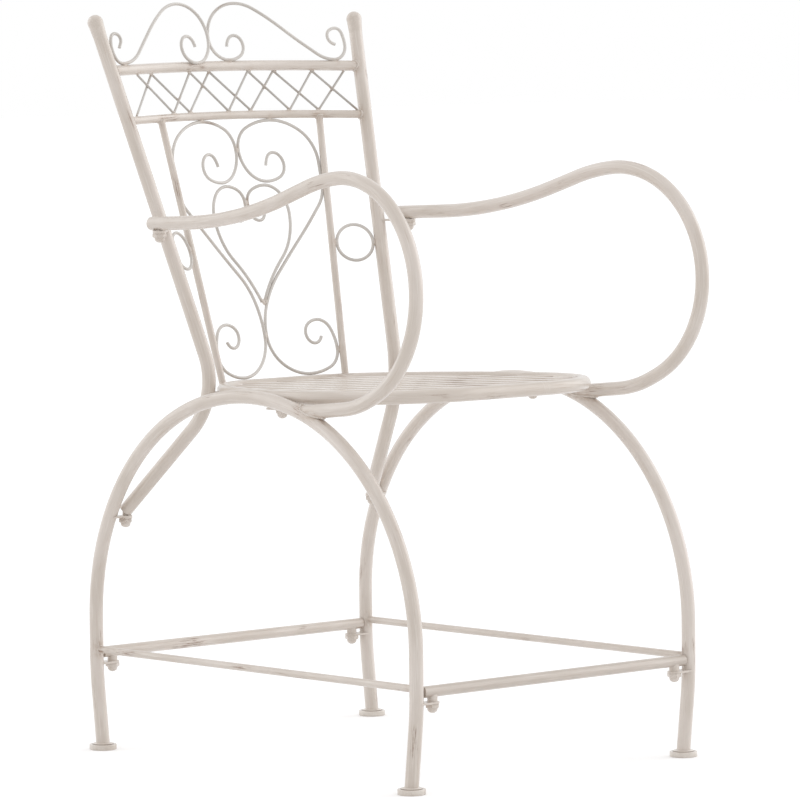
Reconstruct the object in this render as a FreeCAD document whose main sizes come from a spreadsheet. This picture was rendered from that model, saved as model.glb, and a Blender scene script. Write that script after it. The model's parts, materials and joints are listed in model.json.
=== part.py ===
import FreeCAD, Part
import math
import os
import Sketcher
from FreeCAD import Matrix, Placement, Vector

# Garden armchair of bent steel tube and scrolled steel wire, painted.
# Millimetres. The chair faces -Y, +Z is up, the origin is on the floor in the middle.

doc = FreeCAD.newDocument("garden_armchair")
sheet = doc.addObject("Spreadsheet::Sheet", "sizes")
SIDES = (("left", -1), ("right", 1))
UP = Vector(0, 0, 1)
ORIGIN = Vector(0, 0, 0)
row_count = 0


class Size:
    """A number together with the spreadsheet expression that gives it."""

    def __init__(self, value, text):
        self.value = value
        self.text = text

    def __add__(self, other):
        other = as_size(other)
        return Size(self.value + other.value, f"({self.text} + {other.text})")

    def __sub__(self, other):
        other = as_size(other)
        return Size(self.value - other.value, f"({self.text} - {other.text})")

    def __mul__(self, other):
        other = as_size(other)
        return Size(self.value * other.value, f"({self.text} * {other.text})")

    def __truediv__(self, other):
        other = as_size(other)
        return Size(self.value / other.value, f"({self.text} / {other.text})")

    def __neg__(self):
        return Size(-self.value, f"(0 - {self.text})")


def as_size(number):
    return number if isinstance(number, Size) else Size(number, repr(float(number)))


def size(alias, value):
    """Put a driving dimension in the spreadsheet under its alias."""
    global row_count
    row_count += 1
    sheet.set(f"A{row_count}", alias)
    sheet.set(f"B{row_count}", str(value))
    sheet.setAlias(f"B{row_count}", alias)
    return Size(value, f"sizes.{alias}")


# Stock sizes
tube_dia = size("tube_dia", 18.0)
seat_tube_dia = size("seat_tube_dia", 18.0)
top_rail_dia = size("top_rail_dia", 14.0)
lattice_rail_dia = size("lattice_rail_dia", 11.0)
upright_dia = size("upright_dia", 9.5)
stretcher_dia = size("stretcher_dia", 14.5)
side_rod_dia = size("side_rod_dia", 9.5)
scroll_wire_dia = size("scroll_wire_dia", 5.0)
lattice_wire_dia = size("lattice_wire_dia", 3.6)
plate_thickness = size("plate_thickness", 2.5)
weld_gap = size("weld_gap", 0.05)

# Leg arches: one tube each, foot to foot over the side of the seat
arch_offset = size("arch_offset", 238.7)
arch_middle_y = size("arch_middle_y", 0.0)
arch_top_radius = size("arch_top_radius", 336.6)
arch_top_angle = size("arch_top_angle", 31.6)
arch_shoulder_radius = size("arch_shoulder_radius", 303.0)
arch_knee_radius = size("arch_knee_radius", 443.7)
arch_knee_length = size("arch_knee_length", 48.5)
leg_lean = size("leg_lean", 6.28)
leg_shank_length = size("leg_shank_length", 71.9)
foot_dia = size("foot_dia", 36.0)
foot_height = size("foot_height", 7.0)
foot_edge_radius = size("foot_edge_radius", 1.2)
foot_collar_dia = size("foot_collar_dia", 21.0)
foot_collar_height = size("foot_collar_height", 2.0)

# Seat: a bent ring that rises to the front, filled with crossed flat slats
seat_side_gap = size("seat_side_gap", 1.0)
seat_bolt_y = size("seat_bolt_y", -44.0)
seat_sleeve_height = size("seat_sleeve_height", 3.6)
seat_tilt = size("seat_tilt", 1.45)
seat_front_y = size("seat_front_y", -235.3)
seat_front_corner = size("seat_front_corner", 158.0)
seat_back_y = size("seat_back_y", 208.1)
seat_back_corner = size("seat_back_corner", 102.0)
seat_back_half_straight = size("seat_back_half_straight", 55.0)
slat_width = size("slat_width", 16.0)
slat_thickness = size("slat_thickness", 2.0)
slat_pitch = size("slat_pitch", 46.0)
slat_turn = size("slat_turn", 45.0)
slat_lift = size("slat_lift", 3.0)

# Back posts: bent beside the ring's rear corner, down to the rear legs
post_bearing = size("post_bearing", 24.1)
post_bend_out = size("post_bend_out", 1.8)
post_bend_drop = size("post_bend_drop", 6.98)
post_splay = size("post_splay", 8.07)
post_lean = size("post_lean", 18.0)
post_upper_length = size("post_upper_length", 510.5)
post_drop = size("post_drop", 151.0)
post_end_inset = size("post_end_inset", 20.8)
post_end_ahead = size("post_end_ahead", 3.6)
post_bend_radius = size("post_bend_radius", 100.0)
post_bore_dia = size("post_bore_dia", 14.5)
post_bore_depth = size("post_bore_depth", 22.0)
finial_dia = size("finial_dia", 21.0)
finial_collar_dia = size("finial_collar_dia", 14.0)

# Back panel: two half planes that lean back and meet in a shallow V
panel_set_back = size("panel_set_back", 7.5)
panel_base_rise = size("panel_base_rise", 5.92)
panel_ahead_of_rail = size("panel_ahead_of_rail", 4.14)
panel_wing_slope = size("panel_wing_slope", 0.12)
rail_bow = size("rail_bow", 32.0)
rail_rise = size("rail_rise", 3.2)
lattice_rail_height = size("lattice_rail_height", 346.8)
rail_spacing = size("rail_spacing", 65.5)
upright_top_x = size("upright_top_x", 139.0)
upright_bottom_x = size("upright_bottom_x", 108.0)
side_ring_height = size("side_ring_height", 176.0)
lattice_bend_radius = size("lattice_bend_radius", 3.0)
lattice_runs = size("lattice_runs", 7)
front_lattice_start = size("front_lattice_start", -164.0)
front_lattice_pitch = size("front_lattice_pitch", 51.5)
rear_lattice_start = size("rear_lattice_start", -187.0)
rear_lattice_pitch = size("rear_lattice_pitch", 54.7)
crest_height = size("crest_height", 86.7)
crest_meet_x = size("crest_meet_x", -20.0)
scroll_foot_meet_x = size("scroll_foot_meet_x", -6.0)
scroll_set_back = size("scroll_set_back", 3.5)

# Arms: a tube that sweeps forward and curls down and back to the arch
arm_rear_height = size("arm_rear_height", 215.5)
arm_post_gap = size("arm_post_gap", 10.2)
arm_rear_ahead = size("arm_rear_ahead", 16.0)
arm_foot_inset = size("arm_foot_inset", 0.0)
arm_rear_slope = size("arm_rear_slope", 2.35)
arm_rear_run = size("arm_rear_run", 80.0)
arm_rise_radius = size("arm_rise_radius", 750.0)
arm_rise_angle = size("arm_rise_angle", 15.6)
arm_middle_run = size("arm_middle_run", 46.9)
arm_crest_radius = size("arm_crest_radius", 291.0)
arm_crest_angle = size("arm_crest_angle", 12.4)
arm_loop_radius = size("arm_loop_radius", 141.4)
arm_loop_angle = size("arm_loop_angle", 173.9)
arm_foot_run = size("arm_foot_run", 78.0)
arm_cap_length = size("arm_cap_length", 3.0)

# Stretchers and side rods
stretcher_z = size("stretcher_z", 127.3)
side_rod_z = size("side_rod_z", 132.0)
stretcher_end_gap = size("stretcher_end_gap", 1.0)

# Fasteners
stud_dia = size("stud_dia", 8.0)
stud_clearance = size("stud_clearance", 0.2)
nut_width = size("nut_width", 16.0)
nut_height = size("nut_height", 5.5)
dome_dia = size("dome_dia", 13.0)
dome_height = size("dome_height", 6.5)
washer_dia = size("washer_dia", 18.0)
washer_thickness = size("washer_thickness", 1.6)
sleeve_dia = size("sleeve_dia", 13.0)
sleeve_height = size("sleeve_height", 5.5)
tab_width = size("tab_width", 18.0)
stretcher_bolt_inset = size("stretcher_bolt_inset", 26.5)
arm_bolt_ahead = size("arm_bolt_ahead", 15.0)


def radians(angle):
    return math.radians(angle.value)


def slope_of(angle):
    return math.tan(radians(angle))


def frame_placement(origin, x_axis, z_axis):
    """A placement whose local X and Z point along the given directions."""
    z_axis = Vector(z_axis).normalize()
    x_axis = (Vector(x_axis) - z_axis * x_axis.dot(z_axis)).normalize()
    y_axis = z_axis.cross(x_axis)
    return Placement(Matrix(
        x_axis.x, y_axis.x, z_axis.x, origin.x,
        x_axis.y, y_axis.y, z_axis.y, origin.y,
        x_axis.z, y_axis.z, z_axis.z, origin.z,
        0, 0, 0, 1))


def add(kind, label):
    item = doc.addObject(kind, label)
    item.Label = label
    return item


def bind(item, **sizes):
    """Set properties and tie them to the spreadsheet."""
    for name, number in sizes.items():
        setattr(item, name, number.value)
        item.setExpression(name, number.text)


def origin_plane(body, role):
    for feature in body.Origin.OriginFeatures:
        if feature.Role == role:
            return feature


def new_sketch(body, name, role):
    sketch = body.newObject("Sketcher::SketchObject", name)
    sketch.AttachmentSupport = [(origin_plane(body, role), "")]
    sketch.MapMode = "FlatFace"
    return sketch


def hold(sketch, kind, geometry, number, unit=""):
    """Give one piece of a sketch a size from the spreadsheet."""
    datum = radians(number) if unit else number.value
    index = sketch.addConstraint(Sketcher.Constraint(kind, geometry, datum))
    sketch.setExpression(f"Constraints[{index}]", number.text + unit)


def path_sketch(body, name, steps):
    """Draw runs and bends in the body's XZ plane, from the origin up local Z."""
    sketch = new_sketch(body, name, "XZ_Plane")
    place, heading = Vector(0, 0, 0), Vector(0, 1, 0)
    ends = []
    for step in steps:
        if step[0] == "run":
            target = place + heading * step[1].value
            index = sketch.addGeometry(Part.LineSegment(place, target), False)
            hold(sketch, "Distance", index, step[1])
            ends.append((index, 1, 2))
            place = target
            continue
        radius, angle, side = step[1:]
        outward = Vector(heading.y, -heading.x, 0) * side
        centre = place + outward * radius.value
        first = math.atan2(-outward.y, -outward.x)
        last = first - side * radians(angle)
        circle = Part.Circle(centre, UP, radius.value)
        if side > 0:
            arc, near, far = Part.ArcOfCircle(circle, last, first), 2, 1
        else:
            arc, near, far = Part.ArcOfCircle(circle, first, last), 1, 2
        index = sketch.addGeometry(arc, False)
        hold(sketch, "Radius", index, radius)
        hold(sketch, "Angle", index, angle, " * 1 deg")
        ends.append((index, near, far))
        place = centre + Vector(math.cos(last), math.sin(last), 0) * radius.value
        heading = Vector(math.sin(last), -math.cos(last), 0) * side
    sketch.addConstraint(Sketcher.Constraint("Coincident", ends[0][0], ends[0][1], -1, 1))
    sketch.addConstraint(Sketcher.Constraint("Vertical", ends[0][0]))
    for (one, near, far), (two, start, end) in zip(ends, ends[1:]):
        sketch.addConstraint(Sketcher.Constraint("Tangent", one, far, two, start))
    return sketch


def bent_tube(label, diameter, steps, placement):
    """A tube or bar of round section swept along runs and bends."""
    body = add("PartDesign::Body", label)
    path = path_sketch(body, label + "_path", steps)
    profile = new_sketch(body, label + "_profile", "XY_Plane")
    circle = profile.addGeometry(Part.Circle(ORIGIN, UP, diameter.value / 2), False)
    profile.addConstraint(Sketcher.Constraint("Coincident", circle, 3, -1, 1))
    hold(profile, "Diameter", circle, diameter)
    pipe = body.newObject("PartDesign::AdditivePipe", label + "_pipe")
    pipe.Profile = profile
    pipe.Spine = path
    body.Tip = pipe
    body.Placement = placement
    return body


def turned(label, points, placement):
    """A body turned about local Z from a closed outline of radius and height pairs.

    A third entry in a pair rounds that corner's next edge into a quarter circle.
    """
    body = add("PartDesign::Body", label)
    sketch = new_sketch(body, label + "_outline", "XZ_Plane")
    count = len(points)
    for index, (radius, height) in enumerate(points):
        next_radius, next_height = points[(index + 1) % count]
        sketch.addGeometry(Part.LineSegment(
            Vector(radius.value, height.value, 0),
            Vector(next_radius.value, next_height.value, 0)), False)
    for index, (radius, height) in enumerate(points):
        sketch.addConstraint(Sketcher.Constraint("Coincident", index - 1 if index else count - 1, 2, index, 1))
        for kind, number in (("DistanceX", radius), ("DistanceY", height)):
            if number.value == 0:
                axis = -2 if kind == "DistanceX" else -1
                sketch.addConstraint(Sketcher.Constraint("PointOnObject", index, 1, axis))
                continue
            place = sketch.addConstraint(Sketcher.Constraint(kind, -1, 1, index, 1, number.value))
            sketch.setExpression(f"Constraints[{place}]", number.text)
    turn = body.newObject("PartDesign::Revolution", label + "_turn")
    turn.Profile = sketch
    turn.ReferenceAxis = (sketch, ["V_Axis"])
    turn.Angle = 360.0
    body.Tip = turn
    body.Placement = placement
    return body


def cylinder(label, diameter, length, placement=Placement()):
    item = add("Part::Cylinder", label)
    bind(item, Radius=diameter / 2, Height=length)
    item.Placement = placement
    return item


def cut(label, base, *tools):
    """Take the tools out of the base, one after another."""
    for index, tool in enumerate(tools):
        last = index == len(tools) - 1
        item = add("Part::Cut", label if last else f"{label}_cut{index}")
        item.Base = base
        item.Tool = tool
        base = item
    return base


def group(label, items):
    """Keep like pieces together in one sub-part, each a solid of its own."""
    item = add("Part::Compound", label)
    item.Links = items
    return item


sub_parts = []


def keep(item):
    sub_parts.append(item)
    return item


# Leg arches, the path the same from foot to foot
lean = radians(leg_lean)
half_top = radians(arch_top_angle) / 2
shank_top_z = foot_height.value + leg_shank_length.value * math.cos(lean)
knee_top_z = shank_top_z + arch_knee_radius.value * math.sin(lean)
shoulder_z = knee_top_z + arch_knee_length.value
shoulder_reach = (arch_top_radius.value - arch_shoulder_radius.value) * math.sin(half_top)
leg_half_span = shoulder_reach + arch_shoulder_radius.value
foot_half_span = leg_half_span - arch_knee_radius.value * (1 - math.cos(lean))
foot_half_span -= leg_shank_length.value * math.sin(lean)
arch_top_centre_z = shoulder_z - (arch_top_radius.value - arch_shoulder_radius.value) * math.cos(half_top)


def leg_reach_at(height):
    """Distance of a leg's centre line from the arch's middle, at a height below the arch's top."""
    if height < shank_top_z:
        return foot_half_span + (height - foot_height.value) * slope_of(leg_lean)
    if height > shoulder_z:
        above = height - shoulder_z
        return shoulder_reach + math.sqrt(arch_shoulder_radius.value ** 2 - above ** 2)
    below = max(knee_top_z - height, 0)
    knee = arch_knee_radius.value
    return leg_half_span - (knee - math.sqrt(knee ** 2 - below ** 2))


def arch_underside_at(y):
    """Height of the underside of the arch's top bend at a distance along the chair."""
    reach = y - arch_middle_y.value
    return arch_top_centre_z + math.sqrt(arch_top_radius.value ** 2 - reach ** 2) - tube_dia.value / 2


def leg_arch(name, side):
    shoulder = (Size(180.0, "180") - arch_top_angle) / 2
    origin = Vector(side * arch_offset.value, arch_middle_y.value - foot_half_span, foot_height.value)
    placement = frame_placement(origin, Vector(0, 1, 0), Vector(0, -math.sin(lean), math.cos(lean)))
    knee = ("bend", arch_knee_radius, leg_lean, 1)
    steps = [("run", leg_shank_length), knee, ("run", arch_knee_length),
             ("bend", arch_shoulder_radius, shoulder, 1),
             ("bend", arch_top_radius, arch_top_angle, 1),
             ("bend", arch_shoulder_radius, shoulder, 1),
             ("run", arch_knee_length), knee, ("run", leg_shank_length)]
    return bent_tube(name + "_leg_arch", tube_dia, steps, placement)


arches = {}
for side_name, side in SIDES:
    arches[side] = keep(leg_arch(side_name, side))


def foot_placement(side, fore):
    """Under the arch's end, square to the floor."""
    place = Vector(side * arch_offset.value, arch_middle_y.value + fore * foot_half_span, 0)
    return Placement(place, FreeCAD.Rotation())


def foot_cap(name, side, fore):
    zero = as_size(0)
    rim = foot_dia / 2
    edge = foot_edge_radius
    outline = [(zero, zero), (rim - edge * 0.4, zero), (rim, edge * 0.4), (rim, foot_height - edge),
               (rim - edge * 0.3, foot_height - edge * 0.3), (rim - edge, foot_height),
               (zero, foot_height)]
    return turned(name, outline, foot_placement(side, fore))


def foot_collar(name, side, fore):
    place = foot_placement(side, fore)
    place.Base = place.Base + UP * foot_height.value
    ring = cylinder(name + "_ring", foot_collar_dia, foot_collar_height, place)
    return cut(name, ring, arches[side])


for side_name, side in SIDES:
    for fore_name, fore in (("front", -1), ("rear", 1)):
        cap_name = f"{fore_name}_{side_name}_foot"
        cap = keep(foot_cap(cap_name, side, fore))
collars = [foot_collar(f"foot_collar_{side_name}_{fore_name}", side, fore)
           for side_name, side in SIDES for fore_name, fore in (("front", -1), ("rear", 1))]
keep(group("foot_collars", collars))


# Seat ring, bent to one closed outline in a plane that rises to the front
seat_half_width = arch_offset.value - (tube_dia.value + seat_tube_dia.value) / 2 - seat_side_gap.value
seat_tab_z = arch_underside_at(seat_bolt_y.value)
ring_underside_z = seat_tab_z + seat_sleeve_height.value
seat_z = ring_underside_z + seat_tube_dia.value / 2
seat_z += (seat_bolt_y.value - arch_middle_y.value) * slope_of(seat_tilt)


def seat_z_at(y):
    """Height of the ring's centre line at a distance along the chair."""
    return seat_z - (y - arch_middle_y.value) * slope_of(seat_tilt)


def seat_placement():
    tilt = radians(seat_tilt)
    return frame_placement(Vector(0, arch_middle_y.value, seat_z),
                           Vector(1, 0, 0), Vector(0, math.sin(tilt), math.cos(tilt)))


def seat_outline():
    """Right half of the ring's centre line as points for lines and arcs, front to back."""
    front = seat_front_y.value - arch_middle_y.value
    back = seat_back_y.value - arch_middle_y.value
    corner = Vector(seat_half_width - seat_front_corner.value, front + seat_front_corner.value, 0)
    rear = Vector(seat_back_half_straight.value, back - seat_back_corner.value, 0)
    across = seat_half_width - rear.x - seat_back_corner.value
    along = rear.y - corner.y
    flare = seat_back_corner.value + (across ** 2 + along ** 2) / (2 * across)
    hub = Vector(seat_half_width - flare, corner.y, 0)
    swing = math.atan2(rear.y - hub.y, rear.x - hub.x)
    return corner, rear, hub, flare, swing


def polar(centre, radius, angle):
    return centre + Vector(math.cos(angle), math.sin(angle), 0) * radius


def seat_wire(inset=0.0):
    """The closed centre line, drawn in by an inset."""
    corner, rear, hub, flare, swing = seat_outline()
    quarter = math.pi / 2
    arcs = ((corner, seat_front_corner.value - inset, -quarter, 0),
            (hub, flare - inset, 0, swing),
            (rear, seat_back_corner.value - inset, swing, quarter))
    edges = []
    for centre, radius, first, last in arcs:
        for side in (1, -1):
            trio = [polar(centre, radius, first + (last - first) * part) for part in (0, 0.5, 1)]
            edges.append(Part.Arc(*[Vector(side * point.x, point.y, 0) for point in trio]).toShape())
    for centre, radius, angle in ((corner, seat_front_corner.value - inset, -quarter),
                                  (rear, seat_back_corner.value - inset, quarter)):
        end = polar(centre, radius, angle)
        edges.append(Part.makeLine(end, Vector(-end.x, end.y, 0)))
    return Part.Wire(Part.__sortEdges__(edges))


def sweep(edges, diameter, label):
    """A round bar along a chain of tangent edges, checked against its length."""
    path = Part.Wire(Part.__sortEdges__(edges))
    start = path.OrderedEdges[0]
    first = start.firstVertex(True).Point
    tangent = start.tangentAt(start.FirstParameter)
    if start.Orientation == "Reversed":
        tangent = -start.tangentAt(start.LastParameter)
    section = Part.Wire(Part.makeCircle(diameter / 2, first, tangent))
    solid = path.makePipeShell([section], True, False)
    expected = math.pi * diameter ** 2 / 4 * path.Length
    if abs(solid.Volume - expected) > 0.01 * expected:
        raise ValueError(f"{label}: the swept volume does not match its length")
    return solid


seat_ring = add("Part::Feature", "seat_ring")
seat_ring.Shape = sweep(seat_wire().Edges, seat_tube_dia.value, "seat_ring")
seat_ring.Placement = seat_placement()
keep(seat_ring)


# Seat slats, flat strips in two crossed layers, their ends on the ring
def slat_layer(name, turn, lift):
    floor = Part.Face(seat_wire(seat_tube_dia.value * 0.1)).extrude(UP * slat_thickness.value)
    ring = sweep(seat_wire().Edges, seat_tube_dia.value, name)
    reach = seat_half_width * 3
    count = int(seat_half_width * 1.5 / slat_pitch.value)
    strips = []
    for index in range(-count, count + 1):
        strip = Part.makeBox(reach, slat_width.value, slat_thickness.value,
                             Vector(-reach / 2, index * slat_pitch.value - slat_width.value / 2, 0))
        strip.rotate(ORIGIN, UP, turn)
        strip = strip.common(floor)
        strip.translate(UP * lift)
        strips += strip.cut(ring).Solids
    layer = add("Part::Feature", name)
    layer.Shape = Part.makeCompound(strips)
    layer.Placement = seat_placement()
    return layer


keep(slat_layer("seat_slats_lower", slat_turn.value, slat_lift.value - slat_thickness.value))
keep(slat_layer("seat_slats_upper", -slat_turn.value, slat_lift.value))


# Back posts
post_up = Vector(slope_of(post_splay), slope_of(post_lean), 1).normalize()
rear_corner = Vector(seat_back_half_straight.value, seat_back_y.value - seat_back_corner.value, 0)
post_bend = polar(rear_corner, seat_back_corner.value + seat_tube_dia.value / 2 + post_bend_out.value,
                  radians(post_bearing))
post_bend.z = seat_z_at(seat_back_y.value) - post_bend_drop.value
post_end_z = post_bend.z - post_drop.value
post_end = Vector(arch_offset.value - post_end_inset.value,
                  arch_middle_y.value + leg_reach_at(post_end_z) - post_end_ahead.value, post_end_z)
post_lower_length = (post_end - post_bend).Length
post_down = (post_end - post_bend).normalize()
post_turn = post_up.getAngle(-post_down)
post_cut_back = post_bend_radius.value * math.tan(post_turn / 2)
post_top = post_bend + post_up * post_upper_length.value
post_apex = post_bend + (post_up + post_down).normalize() * post_bend_radius.value * (1 / math.cos(post_turn / 2) - 1)


def mirror_x(point, side):
    return Vector(side * point.x, point.y, point.z)


def post_at(height):
    """The point of the right post's straight part at a height."""
    return post_bend + post_up * ((height - post_bend.z) / post_up.z)


def back_post(name, side):
    turn = as_size(math.degrees(post_turn))
    back = as_size(post_cut_back)
    rise, fall = mirror_x(post_up, side), mirror_x(post_down, side)
    placement = frame_placement(mirror_x(post_end, side), rise, -fall)
    steps = [("run", as_size(post_lower_length) - back), ("bend", post_bend_radius, turn, 1),
             ("run", post_upper_length - back)]
    tube = bent_tube(name + "_tube", tube_dia, steps, placement)
    bore = cylinder(name + "_bore", post_bore_dia, post_bore_depth, placement)
    return cut(name, tube, bore)


posts = {}
for side_name, side in SIDES:
    posts[side] = keep(back_post(side_name + "_back_post", side))


def finial(name, side):
    ball = add("Part::Sphere", name + "_ball")
    bind(ball, Radius=finial_dia / 2)
    top = mirror_x(post_top, side)
    rise = mirror_x(post_up, side)
    lift = math.sqrt(finial_dia.value ** 2 - finial_collar_dia.value ** 2) / 2
    ball.Placement = Placement(top + rise * lift, FreeCAD.Rotation())
    return cut(name, ball, posts[side])


for side_name, side in SIDES:
    keep(finial(side_name + "_finial", side))


# Rails between the posts, bowed back and up a little in the middle
panel_base_y = seat_back_y.value + panel_set_back.value
panel_base_z = seat_z_at(seat_back_y.value) + panel_base_rise.value
lattice_rail_z = panel_base_z + lattice_rail_height.value
top_rail_z = lattice_rail_z + rail_spacing.value
panel_top_y = post_at(top_rail_z).y + rail_bow.value - panel_ahead_of_rail.value
panel_slope = (panel_top_y - panel_base_y) / (top_rail_z - panel_base_z)


def rail_points(height):
    end = post_at(height)
    return end, Vector(0, end.y + rail_bow.value, height + rail_rise.value)


def rail_at(height, offset):
    """The rail's centre line above a distance from the middle, read off its arc."""
    end, middle = rail_points(height)
    sag = math.hypot(rail_bow.value, rail_rise.value)
    radius = (end.x ** 2 + sag ** 2) / (2 * sag)
    drop = (radius - math.sqrt(radius ** 2 - offset ** 2)) / sag
    return Vector(offset, middle.y - rail_bow.value * drop, middle.z - rail_rise.value * drop)


def bowed_rail(name, height, diameter):
    end, middle = rail_points(height)
    arc = Part.Arc(mirror_x(end, -1), middle, end).toShape()
    bar = add("Part::Feature", name + "_bar")
    bar.Shape = sweep([arc], diameter.value, name)
    return cut(name, bar, posts[-1], posts[1])


top_rail = keep(bowed_rail("top_rail", top_rail_z, top_rail_dia))
lattice_rail = keep(bowed_rail("lattice_rail", lattice_rail_z, lattice_rail_dia))


def panel_point(offset, height, side):
    """The point of the back panel's surface at a height and a distance from the middle."""
    rise = height - panel_base_z
    depth = panel_base_y + rise * panel_slope - panel_wing_slope.value * offset
    return Vector(side * offset, depth, height)


# Uprights from the seat ring to the lattice rail
def upright(name, side):
    foot = panel_point(upright_bottom_x.value, panel_base_z, side)
    head = panel_point(upright_top_x.value, lattice_rail_z, side)
    rise = (head - foot).normalize()
    start = foot - rise * (seat_tube_dia.value / 2)
    length = as_size((head - start).Length)
    rod = cylinder(name + "_rod", upright_dia, length, frame_placement(start, Vector(1, 0, 0), rise))
    return cut(name, rod, seat_ring, lattice_rail)


uprights = {}
for side_name, side in SIDES:
    uprights[side] = keep(upright(side_name + "_upright", side))


# Scrolls, hearts and crest: wire bent to tangent arcs through the points where it turns
def unit(angle):
    return Vector(math.cos(math.radians(angle)), math.sin(math.radians(angle)), 0)


def arc_between(start, heading, end):
    """The arc that leaves one point along a heading and ends at the other."""
    chord = end - start
    normal = Vector(-heading.y, heading.x, 0)
    across = chord.dot(normal)
    if abs(across) < 1e-6 * chord.Length:
        return [start, (start + end) / 2, end]
    centre = start + normal * (chord.dot(chord) / (2 * across))
    radius = (start - centre).Length
    middle = ((start - centre) + (end - centre)).normalize()
    return [start, centre + middle * radius, end]


def biarc(start, first, end, last):
    """Two tangent arcs from a point and heading to a point and heading."""
    span = end - start
    bend = 2 * (first.dot(last) - 1)
    reach = span.dot(first + last)
    if abs(bend) < 1e-9:
        length = span.dot(span) / (2 * reach)
    else:
        length = (reach - math.sqrt(reach ** 2 - bend * span.dot(span) / 2 * 2)) / bend
        if length < 0:
            length = (reach + math.sqrt(reach ** 2 - bend * span.dot(span))) / bend
    joint = (start + first * length + end - last * length) / 2
    return arc_between(start, first, joint), arc_between(end, -last, joint)[::-1]


def bent_to(turns, side, behind):
    """Edges behind the panel through turns of distance from the middle, height and heading."""
    edges = []
    back = Vector(0, behind, 0)
    for (x0, z0, a0), (x1, z1, a1) in zip(turns, turns[1:]):
        for trio in biarc(Vector(x0, z0, 0), unit(a0), Vector(x1, z1, 0), unit(a1)):
            edges.append(Part.Arc(*[panel_point(p.x, p.y, side) + back for p in trio]).toShape())
    return edges


def scroll(name, turns, side, behind=0.0):
    item = add("Part::Feature", name)
    item.Shape = sweep(bent_to(turns, side, behind), scroll_wire_dia.value, name)
    return item


wire_half = scroll_wire_dia.value / 2
wire_meet = wire_half + weld_gap.value
rail_end_x = post_at(top_rail_z).x


def upright_x(height):
    """Distance of the upright's centre from the middle at a height."""
    share = (height - panel_base_z) / (lattice_rail_z - panel_base_z)
    return upright_bottom_x.value + share * (upright_top_x.value - upright_bottom_x.value)


def resting_height(rail, reach, offset, sense, behind=0.0):
    """Height at which a wire on the panel touches a bar above or below it."""
    gap = panel_point(offset, rail.z, 1).y + behind - rail.y
    lift = math.sqrt(max((reach + wire_half) ** 2 - gap ** 2, 0))
    return rail.z + sense * lift


def back_scroll(name, side):
    """Top curl, round the top loop, down the diagonal, round the foot loop, lower curl."""
    meet = side * scroll_foot_meet_x.value
    behind = scroll_set_back.value
    clear = math.sqrt(max((upright_dia.value / 2 + wire_half) ** 2 - behind ** 2, 0))

    def at(across, rise, heading):
        """A turn at a share of the panel's half width and of its height."""
        return (across * upright_top_x.value, panel_base_z + rise * lattice_rail_height.value, heading)

    def beside_upright(rise, heading):
        height = at(0, rise, heading)[1]
        return (upright_x(height) - clear, height, heading)

    crown_x = 0.428 * upright_top_x.value
    crown = resting_height(rail_at(lattice_rail_z, crown_x), lattice_rail_dia.value / 2, crown_x, -1, behind)
    foot_x = 0.417 * upright_top_x.value + meet / 2
    ring = Vector(foot_x, seat_back_y.value, seat_z_at(seat_back_y.value))
    foot = resting_height(ring, seat_tube_dia.value / 2, foot_x, 1, behind)
    hip_x, _, _ = at(0.275, 0, 0)
    turns = [
        at(0.302, 0.813, 80), at(0.403, 0.862, 0), at(0.511, 0.813, -90), at(0.288, 0.7525, 180),
        (wire_meet, at(0, 0.874, 0)[1], 90), (crown_x, crown, 0), beside_upright(0.822, -90),
        at(0.806, 0.6545, -116), (hip_x + meet / 2, at(0, 0.398, 0)[1], -120),
        (wire_meet + meet, at(0, 0.1585, 0)[1], -90), (foot_x, foot, 0), beside_upright(0.1065, 90),
        at(0.5755, 0.2175, 180), at(0.4245, 0.1685, -90), at(0.5145, 0.1285, 0), at(0.597, 0.153, 70)]
    return scroll(name, turns, side, behind)


def heart_wire(name, side):
    """Curl, up the middle, round the lobe under the back scroll's curl, down to the point."""
    wide, tall = upright_top_x.value, lattice_rail_height.value
    shape = ((0.2015, 0.643, -100), (0.1225, 0.604, 180), (0, 0.672, 90), (0.2375, 0.738, 0),
             (0.475, 0.6285, -90), (0, 0.294, -116))
    turns = [(max(across * wide, wire_meet), panel_base_z + rise * tall, heading)
             for across, rise, heading in shape]
    return scroll(name, turns, side, scroll_set_back.value)


def on_top_rail(offset, heading):
    """A turn of a crest scroll where it lies on the top rail."""
    rail = rail_at(top_rail_z, offset)
    return (offset, resting_height(rail, top_rail_dia.value / 2, offset, 1), heading)


def crest_scroll(name, side):
    """Inner curl, up the meeting line, over the crest, down to the rail, outer curl."""
    meet = side * crest_meet_x.value

    def inner(across, rise, heading):
        """A turn near the meeting line, in shares of the crest's height."""
        return (meet + across * crest_height.value, top_rail_z + rise * crest_height.value, heading)

    def outer(across, rise, heading):
        """A turn towards the post, in shares of the rail's half length and the crest's height."""
        return (across * rail_end_x, top_rail_z + rise * crest_height.value, heading)

    curl_x, _, _ = inner(0.354, 0, 0)
    turns = [inner(0.3425, 0.337, 80), inner(0.5015, 0.504, 0), inner(0.646, 0.3425, -90),
             on_top_rail(curl_x, 180), (meet + wire_meet, inner(0, 0.458, 90)[1], 90), inner(0.6, 1, 0)]
    if side < 0:
        turns += [outer(0.6, 0.615, -46), on_top_rail(0.878 * rail_end_x, 0), outer(0.944, 0.377, 90),
                  outer(0.919, 0.58, 180), outer(0.891, 0.4925, -90), outer(0.903, 0.354, -80)]
    else:
        turns += [outer(0.394, 0.7405, -34), outer(0.588, 0.392, -34), on_top_rail(0.8265 * rail_end_x, 0),
                  outer(0.921, 0.3425, 90), outer(0.867, 0.594, 180), outer(0.8, 0.4695, -90),
                  outer(0.848, 0.3425, -10)]
    return scroll(name, turns, side)


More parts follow.
